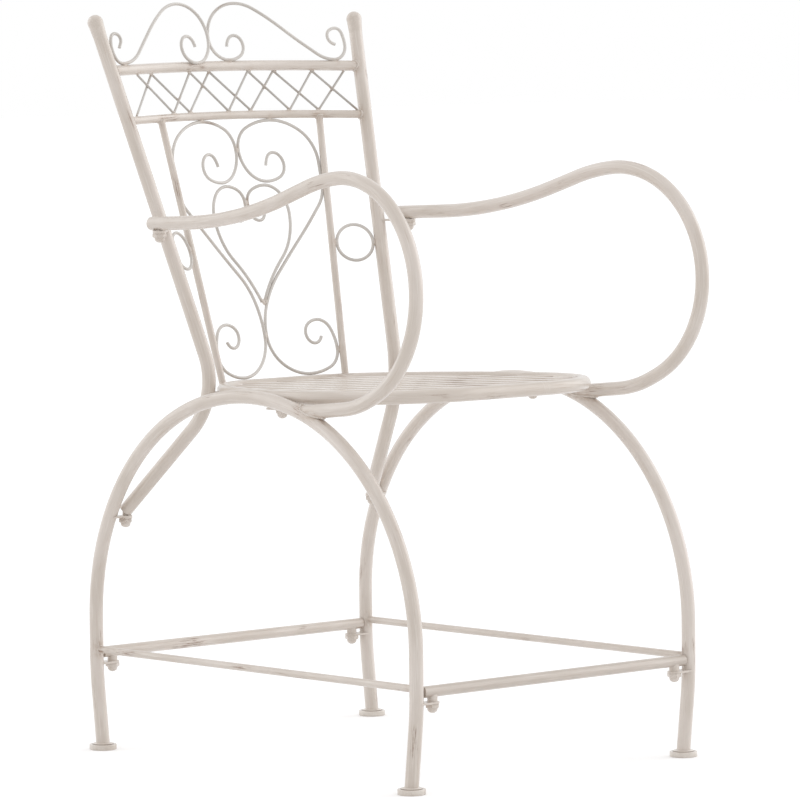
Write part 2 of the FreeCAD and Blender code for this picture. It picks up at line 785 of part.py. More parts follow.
scrolls = {}
for side_name, side in SIDES:
    scrolls[side] = keep(back_scroll(side_name + "_back_scroll", side))
    keep(heart_wire(side_name + "_heart_wire", side))
    keep(crest_scroll(side_name + "_crest_scroll", side))


# Rings between uprights and posts
def side_ring(name, side):
    height = panel_base_z + side_ring_height.value
    inner = panel_point(upright_x(height), height, side)
    outer = mirror_x(post_at(height), side)
    across = outer - inner
    free = across.Length - tube_dia.value / 2 - upright_dia.value / 2
    axis = across.cross(mirror_x(post_up, side))
    start = inner + across.normalize() * (upright_dia.value / 2 + free / 2)
    ring = add("Part::Torus", name)
    bind(ring, Radius2=scroll_wire_dia / 2)
    ring.Radius1 = free / 2 - wire_half
    ring.Placement = frame_placement(start, across, axis)
    return ring


for side_name, side in SIDES:
    keep(side_ring(side_name + "_side_ring", side))


# Lattice wires, bent zigzag between the two rails
def bent_wire_edges(points, radius):
    """Straight runs joined by tangent arcs of one radius."""
    edges, place = [], points[0]
    for before, corner, after in zip(points, points[1:], points[2:]):
        into, out = (before - corner).normalize(), (after - corner).normalize()
        half = into.getAngle(out) / 2
        start = corner + into * (radius / math.tan(half))
        end = corner + out * (radius / math.tan(half))
        centre = corner + (into + out).normalize() * (radius / math.sin(half))
        middle = centre + (corner - centre).normalize() * radius
        edges += [Part.makeLine(place, start), Part.Arc(start, middle, end).toShape()]
        place = end
    return edges + [Part.makeLine(place, points[-1])]


def lattice_wire(name, side, first, pitch):
    outer = lattice_wire_dia.value / 2
    top_seat = top_rail_dia.value / 2 + outer * 0.2
    low_seat = lattice_rail_dia.value / 2 + outer * 0.2
    points = []
    for index in range(int(lattice_runs.value) + 1):
        offset = first.value + pitch.value * index
        on_top = index % 2 == (0 if side < 0 else 1)
        rail = rail_at(top_rail_z if on_top else lattice_rail_z, offset)
        points.append(rail + UP * (-top_seat if on_top else low_seat) + Vector(0, side * outer, 0))
    item = add("Part::Feature", name + "_wire")
    item.Shape = sweep(bent_wire_edges(points, lattice_bend_radius.value), lattice_wire_dia.value, name)
    return cut(name, item, top_rail, lattice_rail)


keep(lattice_wire("front_lattice_wire", -1, front_lattice_start, front_lattice_pitch))
keep(lattice_wire("rear_lattice_wire", 1, rear_lattice_start, rear_lattice_pitch))


# Arms
arm_rear_z = seat_z + arm_rear_height.value
arm_rear_x = post_at(arm_rear_z).x + tube_dia.value + arm_post_gap.value
arm_rear_y = post_at(arm_rear_z).y - arm_rear_ahead.value
arm_steps = [("run", arm_rear_run), ("bend", arm_rise_radius, arm_rise_angle, 1),
             ("run", arm_middle_run), ("bend", arm_crest_radius, arm_crest_angle, -1),
             ("bend", arm_loop_radius, arm_loop_angle, -1), ("run", arm_foot_run)]


def reach_of(steps, slope):
    """How far ahead a bent tube's end lies, from a start that rises at a slope."""
    ahead, angle = 0.0, slope
    for step in steps:
        if step[0] == "run":
            ahead += step[1].value * math.cos(angle)
            continue
        turned_angle = angle + step[3] * radians(step[2])
        ahead += step[3] * step[1].value * (math.sin(turned_angle) - math.sin(angle))
        angle = turned_angle
    return ahead


arm_foot_x = arch_offset.value - arm_foot_inset.value
arm_splay = math.asin((arm_foot_x - arm_rear_x) / reach_of(arm_steps, radians(arm_rear_slope)))


def arm_frame(side):
    """Heading, up direction and start of an arm's own plane."""
    ahead = Vector(side * math.sin(arm_splay), -math.cos(arm_splay), 0)
    slope = radians(arm_rear_slope)
    heading = ahead * math.cos(slope) + UP * math.sin(slope)
    rising = UP * math.cos(slope) - ahead * math.sin(slope)
    return Vector(side * arm_rear_x, arm_rear_y, arm_rear_z), heading, rising


def arm(name, side):
    start, heading, rising = arm_frame(side)
    tube = bent_tube(name + "_tube", tube_dia, arm_steps, frame_placement(start, rising, heading))
    return cut(name, tube, arches[side])


def arm_cap(name, side):
    start, heading, rising = arm_frame(side)
    zero = as_size(0)
    rim = tube_dia / 2
    outline = [(zero, zero), (rim, zero), (rim, arm_cap_length / 3), (rim * 0.7, arm_cap_length),
               (zero, arm_cap_length)]
    return turned(name, outline, frame_placement(start, rising, -heading))


arms = {}
for side_name, side in SIDES:
    arms[side] = keep(arm(side_name + "_arm", side))
    keep(arm_cap(side_name + "_arm_cap", side))


# Stretchers across and rods along, all between the legs
def stretcher(name, fore):
    half = arch_offset - tube_dia / 2 - stretcher_end_gap
    start = Vector(-half.value, arch_middle_y.value + fore * leg_reach_at(stretcher_z.value), stretcher_z.value)
    return cylinder(name, stretcher_dia, half * 2, frame_placement(start, UP, Vector(1, 0, 0)))


def side_rod(name, side):
    reach = as_size(leg_reach_at(side_rod_z.value))
    start = Vector(side * arch_offset.value, arch_middle_y.value - reach.value, side_rod_z.value)
    rod = cylinder(name + "_bar", side_rod_dia, reach * 2, frame_placement(start, UP, Vector(0, 1, 0)))
    return cut(name, rod, arches[side])


stretchers = {fore: keep(stretcher(name + "_stretcher", fore)) for name, fore in (("front", -1), ("rear", 1))}
for side_name, side in SIDES:
    keep(side_rod(side_name + "_side_rod", side))


# Fastener pieces, each hung downwards from a seat under local +Z
def down_frame(place, outward=Vector(1, 0, 0)):
    return frame_placement(place, outward, -UP)


def cap_nut(label, place):
    """Hexagon nut with a domed cap, bored for the stud."""
    flat = add("Part::Prism", label + "_flat")
    bind(flat, Circumradius=nut_width / (math.sqrt(3)), Height=nut_height)
    flat.Polygon = 6
    flat.Placement = down_frame(place)
    dome = add("Part::Cone", label + "_dome")
    bind(dome, Radius1=dome_dia / 2, Radius2=dome_dia * 0.28, Height=dome_height)
    dome.Placement = down_frame(place - UP * nut_height.value)
    whole = add("Part::Fuse", label + "_whole")
    whole.Base, whole.Tool = flat, dome
    bore = cylinder(label + "_bore", stud_dia, nut_height, down_frame(place))
    return cut(label, whole, bore)


def ring_piece(label, outer, height, place):
    """A washer or sleeve round the stud."""
    body = cylinder(label + "_body", outer, height, down_frame(place))
    bore = cylinder(label + "_hole", stud_dia + stud_clearance * 2, height, down_frame(place))
    return cut(label, body, bore)


def tab_plate(label, root, tip, top_z, tools):
    """A flat tab from its weld at the root to round its bolt at the tip."""
    root, tip = Vector(root.x, root.y, top_z), Vector(tip.x, tip.y, top_z)
    along = tip - root
    placement = frame_placement(root, -UP.cross(along), -UP)
    plate = add("Part::Box", label + "_plate")
    length = as_size(along.Length)
    bind(plate, Length=tab_width, Width=length, Height=plate_thickness)
    side_step = placement.Rotation.multVec(Vector(-tab_width.value / 2, 0, 0))
    plate.Placement = Placement(root + side_step, placement.Rotation)
    if placement.Rotation.multVec(Vector(0, 1, 0)).dot(along) < 0:
        plate.Placement.Base = plate.Placement.Base + along
    end = cylinder(label + "_end", tab_width, plate_thickness, down_frame(tip))
    whole = add("Part::Fuse", label + "_whole")
    whole.Base, whole.Tool = plate, end
    hole = cylinder(label + "_hole", stud_dia + stud_clearance * 2, plate_thickness, down_frame(tip))
    return cut(label, whole, hole, *tools)


def corner_spots():
    for fore in (-1, 1):
        for side_name, side in SIDES:
            reach = arch_middle_y.value + fore * leg_reach_at(stretcher_z.value)
            across = arch_offset.value - stretcher_bolt_inset.value
            yield fore, side, f"{fore + 1}{side_name}", Vector(side * across, reach, 0)


sleeves, tabs, studs, nuts = [], [], [], []
sleeve_top = stretcher_z.value - stretcher_dia.value / 2
tab_top = sleeve_top - sleeve_height.value
nut_top = tab_top - plate_thickness.value
for fore, side, tag, spot in corner_spots():
    top = Vector(spot.x, spot.y, sleeve_top)
    tall = sleeve_height + stretcher_dia / 4
    blank = ring_piece("sleeve_blank" + tag, sleeve_dia, tall, top + UP * (stretcher_dia.value / 4))
    sleeves.append(cut("sleeve" + tag, blank, stretchers[fore]))
    leg = Vector(side * arch_offset.value, spot.y, 0)
    tabs.append(tab_plate("tab" + tag, leg, spot, tab_top, [arches[side]]))
    stud_length = stretcher_dia / 4 + sleeve_height + plate_thickness + nut_height
    stud = cylinder("stud_blank" + tag, stud_dia, stud_length, down_frame(top + UP * (stretcher_dia.value / 4)))
    studs.append(cut("stud" + tag, stud, stretchers[fore]))
    nuts.append(cap_nut("nut" + tag, Vector(spot.x, spot.y, nut_top)))
keep(group("stretcher_sleeves", sleeves))
keep(group("stretcher_tabs", tabs))
keep(group("stretcher_studs", studs))
keep(group("stretcher_cap_nuts", nuts))

# Fixing of the arm's rear end: a tab from the post, a bolt up through it into the arm
tabs, washers, studs, nuts = [], [], [], []
for side_name, side in SIDES:
    start, heading, rising = arm_frame(side)
    spot = start + heading * arm_bolt_ahead.value
    top_z = spot.z - tube_dia.value / 2
    post = mirror_x(post_at(top_z), side)
    tabs.append(tab_plate("arm_tab_" + side_name, post, spot, top_z, [posts[side], arms[side]]))
    seat = Vector(spot.x, spot.y, top_z - plate_thickness.value)
    washers.append(ring_piece("arm_washer_" + side_name, washer_dia, washer_thickness, seat))
    stud_length = plate_thickness + washer_thickness + nut_height + tube_dia / 4
    stud = cylinder("arm_stud_blank" + side_name, stud_dia, stud_length,
                    down_frame(Vector(spot.x, spot.y, top_z + tube_dia.value / 4)))
    studs.append(cut("arm_stud_" + side_name, stud, arms[side]))
    nuts.append(cap_nut("arm_nut_" + side_name, seat - UP * washer_thickness.value))
keep(group("arm_tabs", tabs))
keep(group("arm_washers", washers))
keep(group("arm_studs", studs))
keep(group("arm_cap_nuts", nuts))

# Fixing of each post's lower end to the rear leg: a tab, a plug in the bore, a bolt
tabs, washers, studs, nuts, plugs = [], [], [], [], []
for side_name, side in SIDES:
    end = mirror_x(post_end, side)
    axis = mirror_x(post_down, side)
    low_edge = end.z - tube_dia.value / 2 * math.hypot(axis.x, axis.y)
    leg = Vector(side * arch_offset.value, end.y + tab_width.value / 4, 0)
    tabs.append(tab_plate("post_tab_" + side_name, leg, end, low_edge, [arches[side]]))
    seat = Vector(end.x, end.y, low_edge - plate_thickness.value)
    washers.append(ring_piece("post_washer_" + side_name, washer_dia, washer_thickness, seat))
    place = frame_placement(end, Vector(0, 0, 1), -axis)
    plug = cylinder("post_plug_blank" + side_name, post_bore_dia, post_bore_depth, place)
    bore = cylinder("post_plug_bore" + side_name, stud_dia, post_bore_depth * 2,
                    down_frame(Vector(end.x, end.y, low_edge + post_bore_depth.value)))
    plugs.append(cut("post_plug_" + side_name, plug, bore))
    stud_length = post_bore_depth / 2 + plate_thickness + washer_thickness + nut_height
    stud = cylinder("post_stud_blank" + side_name, stud_dia, stud_length,
                    down_frame(Vector(end.x, end.y, low_edge + post_bore_depth.value / 2)))
    studs.append(cut("post_stud_" + side_name, stud, posts[side]))
    nuts.append(cap_nut("post_nut_" + side_name, seat - UP * washer_thickness.value))
keep(group("post_tabs", tabs))
keep(group("post_plugs", plugs))
keep(group("post_washers", washers))
keep(group("post_studs", studs))
keep(group("post_cap_nuts", nuts))

# Fixing of the seat: tabs under the arches, short lugs to the posts
tabs, sleeves, studs, nuts, lugs = [], [], [], [], []
for side_name, side in SIDES:
    spot = Vector(side * seat_half_width, seat_bolt_y.value, 0)
    leg = Vector(side * arch_offset.value, seat_bolt_y.value, 0)
    tabs.append(tab_plate("seat_tab_" + side_name, leg, spot, seat_tab_z, [arches[side]]))
    tall = seat_sleeve_height + seat_tube_dia / 6
    top = Vector(spot.x, spot.y, seat_tab_z + tall.value)
    blank = ring_piece("seat_sleeve_blank" + side_name, sleeve_dia, tall, top)
    sleeves.append(cut("seat_sleeve_" + side_name, blank, seat_ring))
    stud = cylinder("seat_stud_blank" + side_name, stud_dia, tall + plate_thickness + nut_height,
                    down_frame(top))
    studs.append(cut("seat_stud_" + side_name, stud, seat_ring))
    nuts.append(cap_nut("seat_nut_" + side_name, top - UP * (tall + plate_thickness).value))
    _, _, hub, flare, _ = seat_outline()
    post = mirror_x(post_apex, side)
    inward = Vector(side * hub.x, hub.y, seat_z_at(post.y)) - post
    lug_length = as_size(inward.Length - flare)
    lug = cylinder("seat_lug_blank" + side_name, upright_dia, lug_length, frame_placement(post, UP, inward))
    lugs.append(cut("seat_lug_" + side_name, lug, posts[side], seat_ring))
keep(group("seat_tabs", tabs))
keep(group("seat_sleeves", sleeves))
keep(group("seat_studs", studs))
keep(group("seat_cap_nuts", nuts))
keep(group("seat_lugs", lugs))

doc.recompute()

for item in doc.Objects:
    if "Invalid" in item.State or "Error" in item.State:
        raise RuntimeError(f"{item.Label} failed: {item.State}")
os.makedirs("parts", exist_ok=True)
for item in sub_parts:
    if item.Shape.isNull() or not item.Shape.isValid():
        raise RuntimeError(f"{item.Label} has no valid shape")
    item.Shape.exportStep(f"parts/{item.Label}.step")
    print(item.Label, len(item.Shape.Solids), round(item.Shape.Volume, 1))
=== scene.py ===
import json
import math
import bmesh
import bpy
from mathutils import Matrix, Vector, kdtree

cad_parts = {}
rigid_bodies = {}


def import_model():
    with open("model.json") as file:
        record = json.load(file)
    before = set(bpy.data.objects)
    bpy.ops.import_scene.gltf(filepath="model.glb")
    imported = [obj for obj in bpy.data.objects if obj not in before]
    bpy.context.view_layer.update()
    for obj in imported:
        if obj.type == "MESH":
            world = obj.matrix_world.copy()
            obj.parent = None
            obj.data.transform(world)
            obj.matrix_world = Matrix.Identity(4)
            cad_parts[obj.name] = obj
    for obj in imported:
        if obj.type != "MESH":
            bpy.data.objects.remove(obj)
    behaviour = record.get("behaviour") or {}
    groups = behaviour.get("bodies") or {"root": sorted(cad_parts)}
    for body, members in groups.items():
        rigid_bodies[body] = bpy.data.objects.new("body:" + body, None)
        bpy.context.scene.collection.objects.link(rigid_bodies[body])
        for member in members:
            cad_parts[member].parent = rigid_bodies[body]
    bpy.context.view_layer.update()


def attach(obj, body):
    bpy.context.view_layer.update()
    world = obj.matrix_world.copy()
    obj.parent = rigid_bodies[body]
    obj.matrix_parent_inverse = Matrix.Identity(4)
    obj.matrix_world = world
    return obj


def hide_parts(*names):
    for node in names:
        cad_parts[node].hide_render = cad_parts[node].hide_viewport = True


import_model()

scene = bpy.context.scene

# Leg arches
# One length of 18 mm steel tube on each side, bent over formers from the front foot to the
# rear foot. The steel is dipped, painted cream and rubbed back with a stiff brush.
MM = 0.001
TUBE, TUBE_SIDES = 18.0, 28
ARCH_X, FOOT_HEIGHT = 238.7, 7.0
TOP_RADIUS, TOP_ANGLE = 336.6, 31.6
SHOULDER_RADIUS = 303.0
KNEE_RADIUS, KNEE_RUN = 443.7, 48.5
LEAN, SHANK_RUN = 6.28, 71.9
RUN_STEP, BEND_SAG = 12.0, 0.02


def bent_stock(start, heading, outward, steps):
    """Centre line in mm of a tube bent in one plane: runs, and bends of radius, angle and side."""
    place, heading, outward = Vector(start), heading.normalized(), outward.normalized()
    line = [place.copy()]
    for step in steps:
        if len(step) == 1:
            pieces = max(1, round(step[0] / RUN_STEP))
            line += [place + heading * step[0] * part / pieces for part in range(1, pieces + 1)]
        else:
            radius, angle, side = step
            centre, swing = place + outward * radius * side, math.radians(angle)
            pieces = max(2, math.ceil(swing / (2 * math.acos(1 - BEND_SAG / radius))))
            for part in range(1, pieces + 1):
                turn = swing * part / pieces
                across = outward * math.cos(turn) - heading * math.sin(turn) * side
                line.append(centre - across * radius * side)
            heading, outward = heading * math.cos(swing) + outward * math.sin(swing) * side, across
        place = line[-1].copy()
    return line


def add_node(tree, kind, inputs=(), **settings):
    """Add a node, set its properties, then link or fill its inputs; a node gives its first output."""
    made = tree.nodes.new(kind)
    for name, value in settings.items():
        setattr(made, name, value)
    for key, value in dict(inputs).items():
        value = value.outputs[0] if isinstance(value, bpy.types.Node) else value
        if isinstance(value, bpy.types.NodeSocket):
            tree.links.new(value, made.inputs[key])
        else:
            made.inputs[key].default_value = value
    return made


def linear(code):
    """An sRGB hex colour as linear red, green, blue and alpha."""
    channels = [int(code[at:at + 2], 16) / 255 for at in (1, 3, 5)]
    return [c / 12.92 if c <= 0.04045 else ((c + 0.055) / 1.055) ** 2.4 for c in channels] + [1.0]


def open_tree(title, inputs):
    """A geometry tree with an input of each name and kind, and one for its paint."""
    tree = bpy.data.node_groups.new(title, "GeometryNodeTree")
    for name, kind in {**inputs, "Paint": "Material"}.items():
        tree.interface.new_socket(name, in_out="INPUT", socket_type="NodeSocket" + kind)
    tree.interface.new_socket("Shape", in_out="OUTPUT", socket_type="NodeSocketGeometry")
    return tree, add_node(tree, "NodeGroupInput").outputs


def close_tree(tree, given, shape):
    """End a tree: what is still an instance becomes real, and the shape takes its paint."""
    real = add_node(tree, "GeometryNodeRealizeInstances", {"Geometry": shape})
    painted = add_node(tree, "GeometryNodeSetMaterial", {"Geometry": real, "Material": given["Paint"]})
    add_node(tree, "NodeGroupOutput", {"Shape": painted})
    return tree


def swept_stock(tree, line, section, along):
    """Sweep a section along a line and keep each point's place on the straight stock."""
    spot = add_node(tree, "GeometryNodeInputPosition").outputs[0]
    kept = []
    for shape, kind, value in ((line, "FLOAT", along), (section, "VECTOR", spot)):
        held = add_node(tree, "GeometryNodeCaptureAttribute", {"Geometry": shape}, domain="POINT")
        held.capture_items.new(kind, "held")
        tree.links.new(value, held.inputs[1])
        kept.append(held.outputs)
    swept = add_node(tree, "GeometryNodeCurveToMesh", {
        "Curve": kept[0][0], "Profile Curve": kept[1][0], "Fill Caps": True})
    around = add_node(tree, "ShaderNodeSeparateXYZ", {0: kept[1][1]}).outputs
    place = add_node(tree, "ShaderNodeCombineXYZ", {0: around[0], 1: around[1], 2: kept[0][1]})
    named = add_node(tree, "GeometryNodeStoreNamedAttribute", {
        "Geometry": swept, "Name": "stock", "Value": place}, data_type="FLOAT_VECTOR", domain="POINT")
    return add_node(tree, "GeometryNodeSetShadeSmooth", {"Geometry": named})


def stock_tree():
    """Sweeps a round section along the edges of a mesh."""
    tree, given = open_tree("round stock", {
        "Centre line": "Geometry", "Diameter": "Float", "Cut from": "Float", "Sides": "Int"})
    line = add_node(tree, "GeometryNodeMeshToCurve", {"Mesh": given["Centre line"]})
    run = add_node(tree, "GeometryNodeSplineParameter").outputs["Length"]
    along = add_node(tree, "ShaderNodeMath", {0: run, 1: given["Cut from"]}).outputs[0]
    radius = add_node(tree, "ShaderNodeMath", {0: given["Diameter"], 1: 0.5}, operation="MULTIPLY")
    ring = add_node(tree, "GeometryNodeCurvePrimitiveCircle", {
        "Resolution": given["Sides"], "Radius": radius})
    return close_tree(tree, given, swept_stock(tree, line, ring, along))


def placed(name, data):
    piece = bpy.data.objects.new(name, data)
    scene.collection.objects.link(piece)
    return piece


def grown(name, base, tree, values):
    """Run a node tree over a base mesh and keep the result as a plain mesh object."""
    seed = placed(name + "_seed", base)
    modifier = seed.modifiers.new(name, "NODES")
    modifier.node_group = tree
    for item in tree.interface.items_tree:
        if item.in_out == "INPUT" and item.name in values:
            modifier[item.identifier] = values[item.name]
    ready = seed.evaluated_get(bpy.context.evaluated_depsgraph_get())
    mesh = bpy.data.meshes.new_from_object(ready)
    mesh.name = name
    bpy.data.objects.remove(seed)
    return placed(name, mesh)


def lines_mesh(name, lines, closed=False):
    """Lines of points in mm as a mesh of edges; a line of one point stays a point."""
    points, links = [], []
    for line in lines:
        first, count = len(points), len(line)
        points += [point * MM for point in line]
        links += [(first + at, first + (at + 1) % count) for at in range(count if closed else count - 1)]
    mesh = bpy.data.meshes.new(name)
    mesh.from_pydata(points, links, [])
    return mesh


# The centre line and radius of every bar, for its welds. Each bar is cut from its own part of
# one long stock, so that no two have the same streaks.
bars = {}
LONGEST_CUT = 1700.0
ROUND_STOCK, CRISP = stock_tree(), math.radians(50)


def round_bar(name, line, diameter, paint, closed=False, sides=TUBE_SIDES):
    """A round tube, bar or wire along a centre line in mm."""
    bars[name] = (line + line[:1] if closed else line, diameter / 2)
    bar = grown(name, lines_mesh(name, [line], closed), ROUND_STOCK, {
        "Diameter": diameter * MM, "Cut from": len(bars) * LONGEST_CUT * MM, "Sides": sides,
        "Paint": paint})
    bar.data.set_sharp_from_angle(angle=CRISP)
    return bar


def stand_for(piece, node):
    """Show a piece on the chair's one body in place of a CAD node."""
    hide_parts(node)
    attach(piece, "root")


# Distressed cream paint on drawn steel tube: a soft eggshell coat that the brush has thinned
# along the tube, so long pale and tan streaks follow the bend, with a few rubs down to brown
# primer and a tan stain round each weld.
FRAME_COAT = ("#EBE4DC", "#D9CFC6", "#CEC3B8")
RUBBED, BARE, JOINT_RUB = "#AB9077", "#7C583D", 0.07


def aged_paint(name, wear=0.5, tone=0.0, along_stock=True, coat=FRAME_COAT, coarse=1.0):
    """wear is how much is rubbed through, tone how far the coat leans to tan, coarse its grain."""
    material = bpy.data.materials.new(name)
    material.use_nodes = True
    tree = material.node_tree
    tree.nodes.clear()
    if along_stock:
        source = add_node(tree, "ShaderNodeAttribute", attribute_name="stock").outputs["Vector"]
    else:
        source = add_node(tree, "ShaderNodeTexCoord").outputs["Object"]
    millimetres = add_node(tree, "ShaderNodeVectorMath", {0: source, "Scale": 1 / MM}, operation="SCALE")

    def grain(across, along, detail, shift):
        """Noise with features of so many mm across and along the stock."""
        squeeze = across / along if along_stock else 1.0
        fitted = add_node(tree, "ShaderNodeMapping", {
            "Vector": millimetres, "Location": (shift, shift * 1.7, shift * 2.3),
            "Scale": (1.0, 1.0, squeeze)})
        return add_node(tree, "ShaderNodeTexNoise", {
            "Vector": fitted, "Scale": 1.0 / (across * coarse), "Detail": detail, "Roughness": 0.6})

    joint = add_node(tree, "ShaderNodeAttribute", attribute_name="near_joint").outputs["Fac"]
    brush = grain(1.8, 60, 4, 11.7)
    handled = add_node(tree, "ShaderNodeMath", {
        0: joint, 1: JOINT_RUB, 2: grain(22, 90, 2, 41.3)}, operation="MULTIPLY_ADD")
    pale, cream, tan = coat
    # Each layer's colour, its strength, and the windows through which it shows: clouds of cream
    # over tan, brush strokes, thin streaks, rubs down to primer, stains at welds, flecks.
    layers = ((cream, 1.0, (grain(26, 110, 3, 3.1), 0.35 + tone * 0.2, 0.68 + tone * 0.2)),
              (pale, 0.45, (brush, 0.5, 0.72)),
              (RUBBED, 0.2 + 0.25 * wear, (grain(1.4, 45, 5, 23.9), 0.58, 0.72)),
              (BARE, 0.85, (handled, 0.66 - 0.10 * wear, 0.76 - 0.08 * wear),
               (grain(1.1, 22, 5, 57.0), 0.50, 0.62)),
              (RUBBED, 0.45, (joint, 0.5, 1.0), (grain(4, 9, 3, 87.0), 0.35, 0.65)),
              (RUBBED, 0.6 * wear, (grain(0.9, 1.4, 2, 71.0), 0.70, 0.76)))
    colour = linear(tan)
    for over, strength, *windows in layers:
        cover = 1.0
        for value, low, high in windows:
            shown = add_node(tree, "ShaderNodeMapRange", {
                "Value": value, "From Min": low, "From Max": high}, interpolation_type="SMOOTHSTEP")
            cover = add_node(tree, "ShaderNodeMath", {0: shown, 1: cover}, operation="MULTIPLY")
        if over == BARE:
            rub = cover
        amount = add_node(tree, "ShaderNodeMath", {0: cover, 1: strength}, operation="MULTIPLY")
        colour = add_node(tree, "ShaderNodeMix", {
            0: amount, 6: colour, 7: linear(over)}, data_type="RGBA").outputs[2]
    rough = add_node(tree, "ShaderNodeMapRange", {"Value": brush, "To Min": 0.26, "To Max": 0.40})
    height = add_node(tree, "ShaderNodeMath", {0: brush, 1: rub}, operation="SUBTRACT")
    bump = add_node(tree, "ShaderNodeBump", {"Height": height, "Strength": 0.12, "Distance": 0.6 * MM})
    shader = add_node(tree, "ShaderNodeBsdfPrincipled", {
        "Base Color": colour, "Roughness": rough, "Normal": bump, "IOR": 1.5, "Coat Weight": 0.6,
        "Coat Roughness": 0.22})
    add_node(tree, "ShaderNodeOutputMaterial", {"Surface": shader})
    return material


tube_paint = aged_paint("aged_cream_on_tube", wear=0.55)
SIDES = (("left", -1), ("right", 1))
ARCH_TONES = (0.0, -0.7)
ARCH_SPAN = SHOULDER_RADIUS + (TOP_RADIUS - SHOULDER_RADIUS) * math.sin(math.radians(TOP_ANGLE / 2))
steep, shallow = math.cos(math.radians(LEAN)), math.sin(math.radians(LEAN))
FOOT_Y = ARCH_SPAN - KNEE_RADIUS * (1 - steep) - SHANK_RUN * shallow
half_arch = [(SHANK_RUN,), (KNEE_RADIUS, LEAN, 1), (KNEE_RUN,), (SHOULDER_RADIUS, (180 - TOP_ANGLE) / 2, 1)]
arch_steps = half_arch + [(TOP_RADIUS, TOP_ANGLE, 1)] + half_arch[::-1]
for (name, side), tone in zip(SIDES, ARCH_TONES):
    # The right arch has kept more of its cream.
    arch_paint = aged_paint(f"aged_cream_on_{name}_arch", wear=0.55, tone=tone)
    line = bent_stock((side * ARCH_X, -FOOT_Y, FOOT_HEIGHT), Vector((0, -shallow, steep)),
                      Vector((0, steep, shallow)), arch_steps)
    stand_for(round_bar(f"{name}_leg_arch_tube", line, TUBE, arch_paint), f"{name}_leg_arch")


# Feet
# Each tube end stands on a turned steel cap with its rim eased over. A rolled collar of weld and
# paint runs round the tube where it meets the cap, with a line of rust at its lower edge.
UP = Vector((0, 0, 1))
CAP_DIA, CAP_EDGE, CAP_FOOT_EDGE = 36.0, 0.8, 0.5
COLLAR_DIA, COLLAR_HEIGHT = 27.0, 2.0
CURVE_STEP = 4.0


def arc_points(centre, radius, first, last, gap=CURVE_STEP):
    """Points in the XY plane round part of a circle, angles in degrees, not over gap mm apart."""
    swing = math.radians(last - first)
    pieces = max(3, math.ceil(abs(swing) * radius / gap))
    turns = (math.radians(first) + swing * part / pieces for part in range(pieces + 1))
    return [Vector((centre[0] + math.cos(turn) * radius, centre[1] + math.sin(turn) * radius, 0))
            for turn in turns]


def turned(bm, outline, place, axis=UP, sides=48):
    """Turn an outline of radius and height in mm about an axis; a radius of 0 is a pole."""
    facing = axis.to_track_quat("Z", "Y").to_matrix()
    rings = []
    for radius, height in outline:
        turns = (math.tau * part / sides for part in range(sides if radius > 0 else 1))
        rings.append([bm.verts.new((Vector(place) + facing @ Vector((
            radius * math.cos(turn), radius * math.sin(turn), height))) * MM) for turn in turns])
    for low, high in zip(rings, rings[1:]):
        for part in range(sides):
            after = (part + 1) % sides
            corners = ((low, part), (low, after), (high, after), (high, part))
            bm.faces.new(list(dict.fromkeys(ring[at % len(ring)] for ring, at in corners)))


def mesh_piece(name, bm, paint, crisp=CRISP):
    """Turn a bmesh into a smooth piece whose edges past the crisp angle stay sharp."""
    bmesh.ops.remove_doubles(bm, verts=bm.verts, dist=1e-7)
    bmesh.ops.recalc_face_normals(bm, faces=bm.faces)
    mesh = bpy.data.meshes.new(name)
    bm.to_mesh(mesh)
    bm.free()
    mesh.shade_smooth()
    mesh.set_sharp_from_angle(angle=crisp)
    mesh.materials.append(paint)
    return placed(name, mesh)


# The caps are paler than the tube. Rust has crept out under each collar as a thin brown line.
CAP_COAT = ("#F1EBE4", "#E2DAD1", "#D2C7BC")
RUST_COAT = ("#8A6E56", "#745A45", "#604A39")
cap_paint = aged_paint("aged_cream_on_turned_caps", wear=0.35, along_stock=False, coat=CAP_COAT)
rust_paint = aged_paint("rust_line_under_collars", wear=0.8, along_stock=False, coat=RUST_COAT)
rim, tube, rolled = CAP_DIA / 2, TUBE / 2, COLLAR_DIA / 2
edge = [(rim - CAP_EDGE + corner.x, FOOT_HEIGHT - CAP_EDGE + corner.y)
        for corner in arc_points((0, 0), CAP_EDGE, 0, 90, CAP_EDGE / 2)]
cap_outline = [(0, 0), (rim - CAP_FOOT_EDGE, 0), (rim, CAP_FOOT_EDGE)] + edge + [(0, FOOT_HEIGHT)]
collar = [(tube - 1, COLLAR_HEIGHT), (tube, COLLAR_HEIGHT), (tube + 1, COLLAR_HEIGHT * 0.8),
          (rolled - 0.6, COLLAR_HEIGHT * 0.65), (rolled, COLLAR_HEIGHT * 0.4), (rolled, 0), (tube - 1, 0)]
rust = [(tube, 0), (rolled + 0.9, 0), (rolled + 0.7, 0.4), (rolled, 0.7), (tube, 0.7)]
collars, rust_lines = bmesh.new(), bmesh.new()
for name, side in SIDES:
    for fore_name, fore in (("front", -1), ("rear", 1)):
        place = Vector((side * ARCH_X, fore * FOOT_Y, 0))
        cap = bmesh.new()
        turned(cap, cap_outline, place)
        stand_for(mesh_piece(f"{fore_name}_{name}_cap", cap, cap_paint), f"{fore_name}_{name}_foot")
        turned(collars, collar, place + UP * FOOT_HEIGHT)
        turned(rust_lines, rust, place + UP * FOOT_HEIGHT)
stand_for(mesh_piece("cap_collars", collars, cap_paint), "foot_collars")
rust_lines = mesh_piece("collar_rust_lines", rust_lines, rust_paint)
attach(rust_lines, "root")


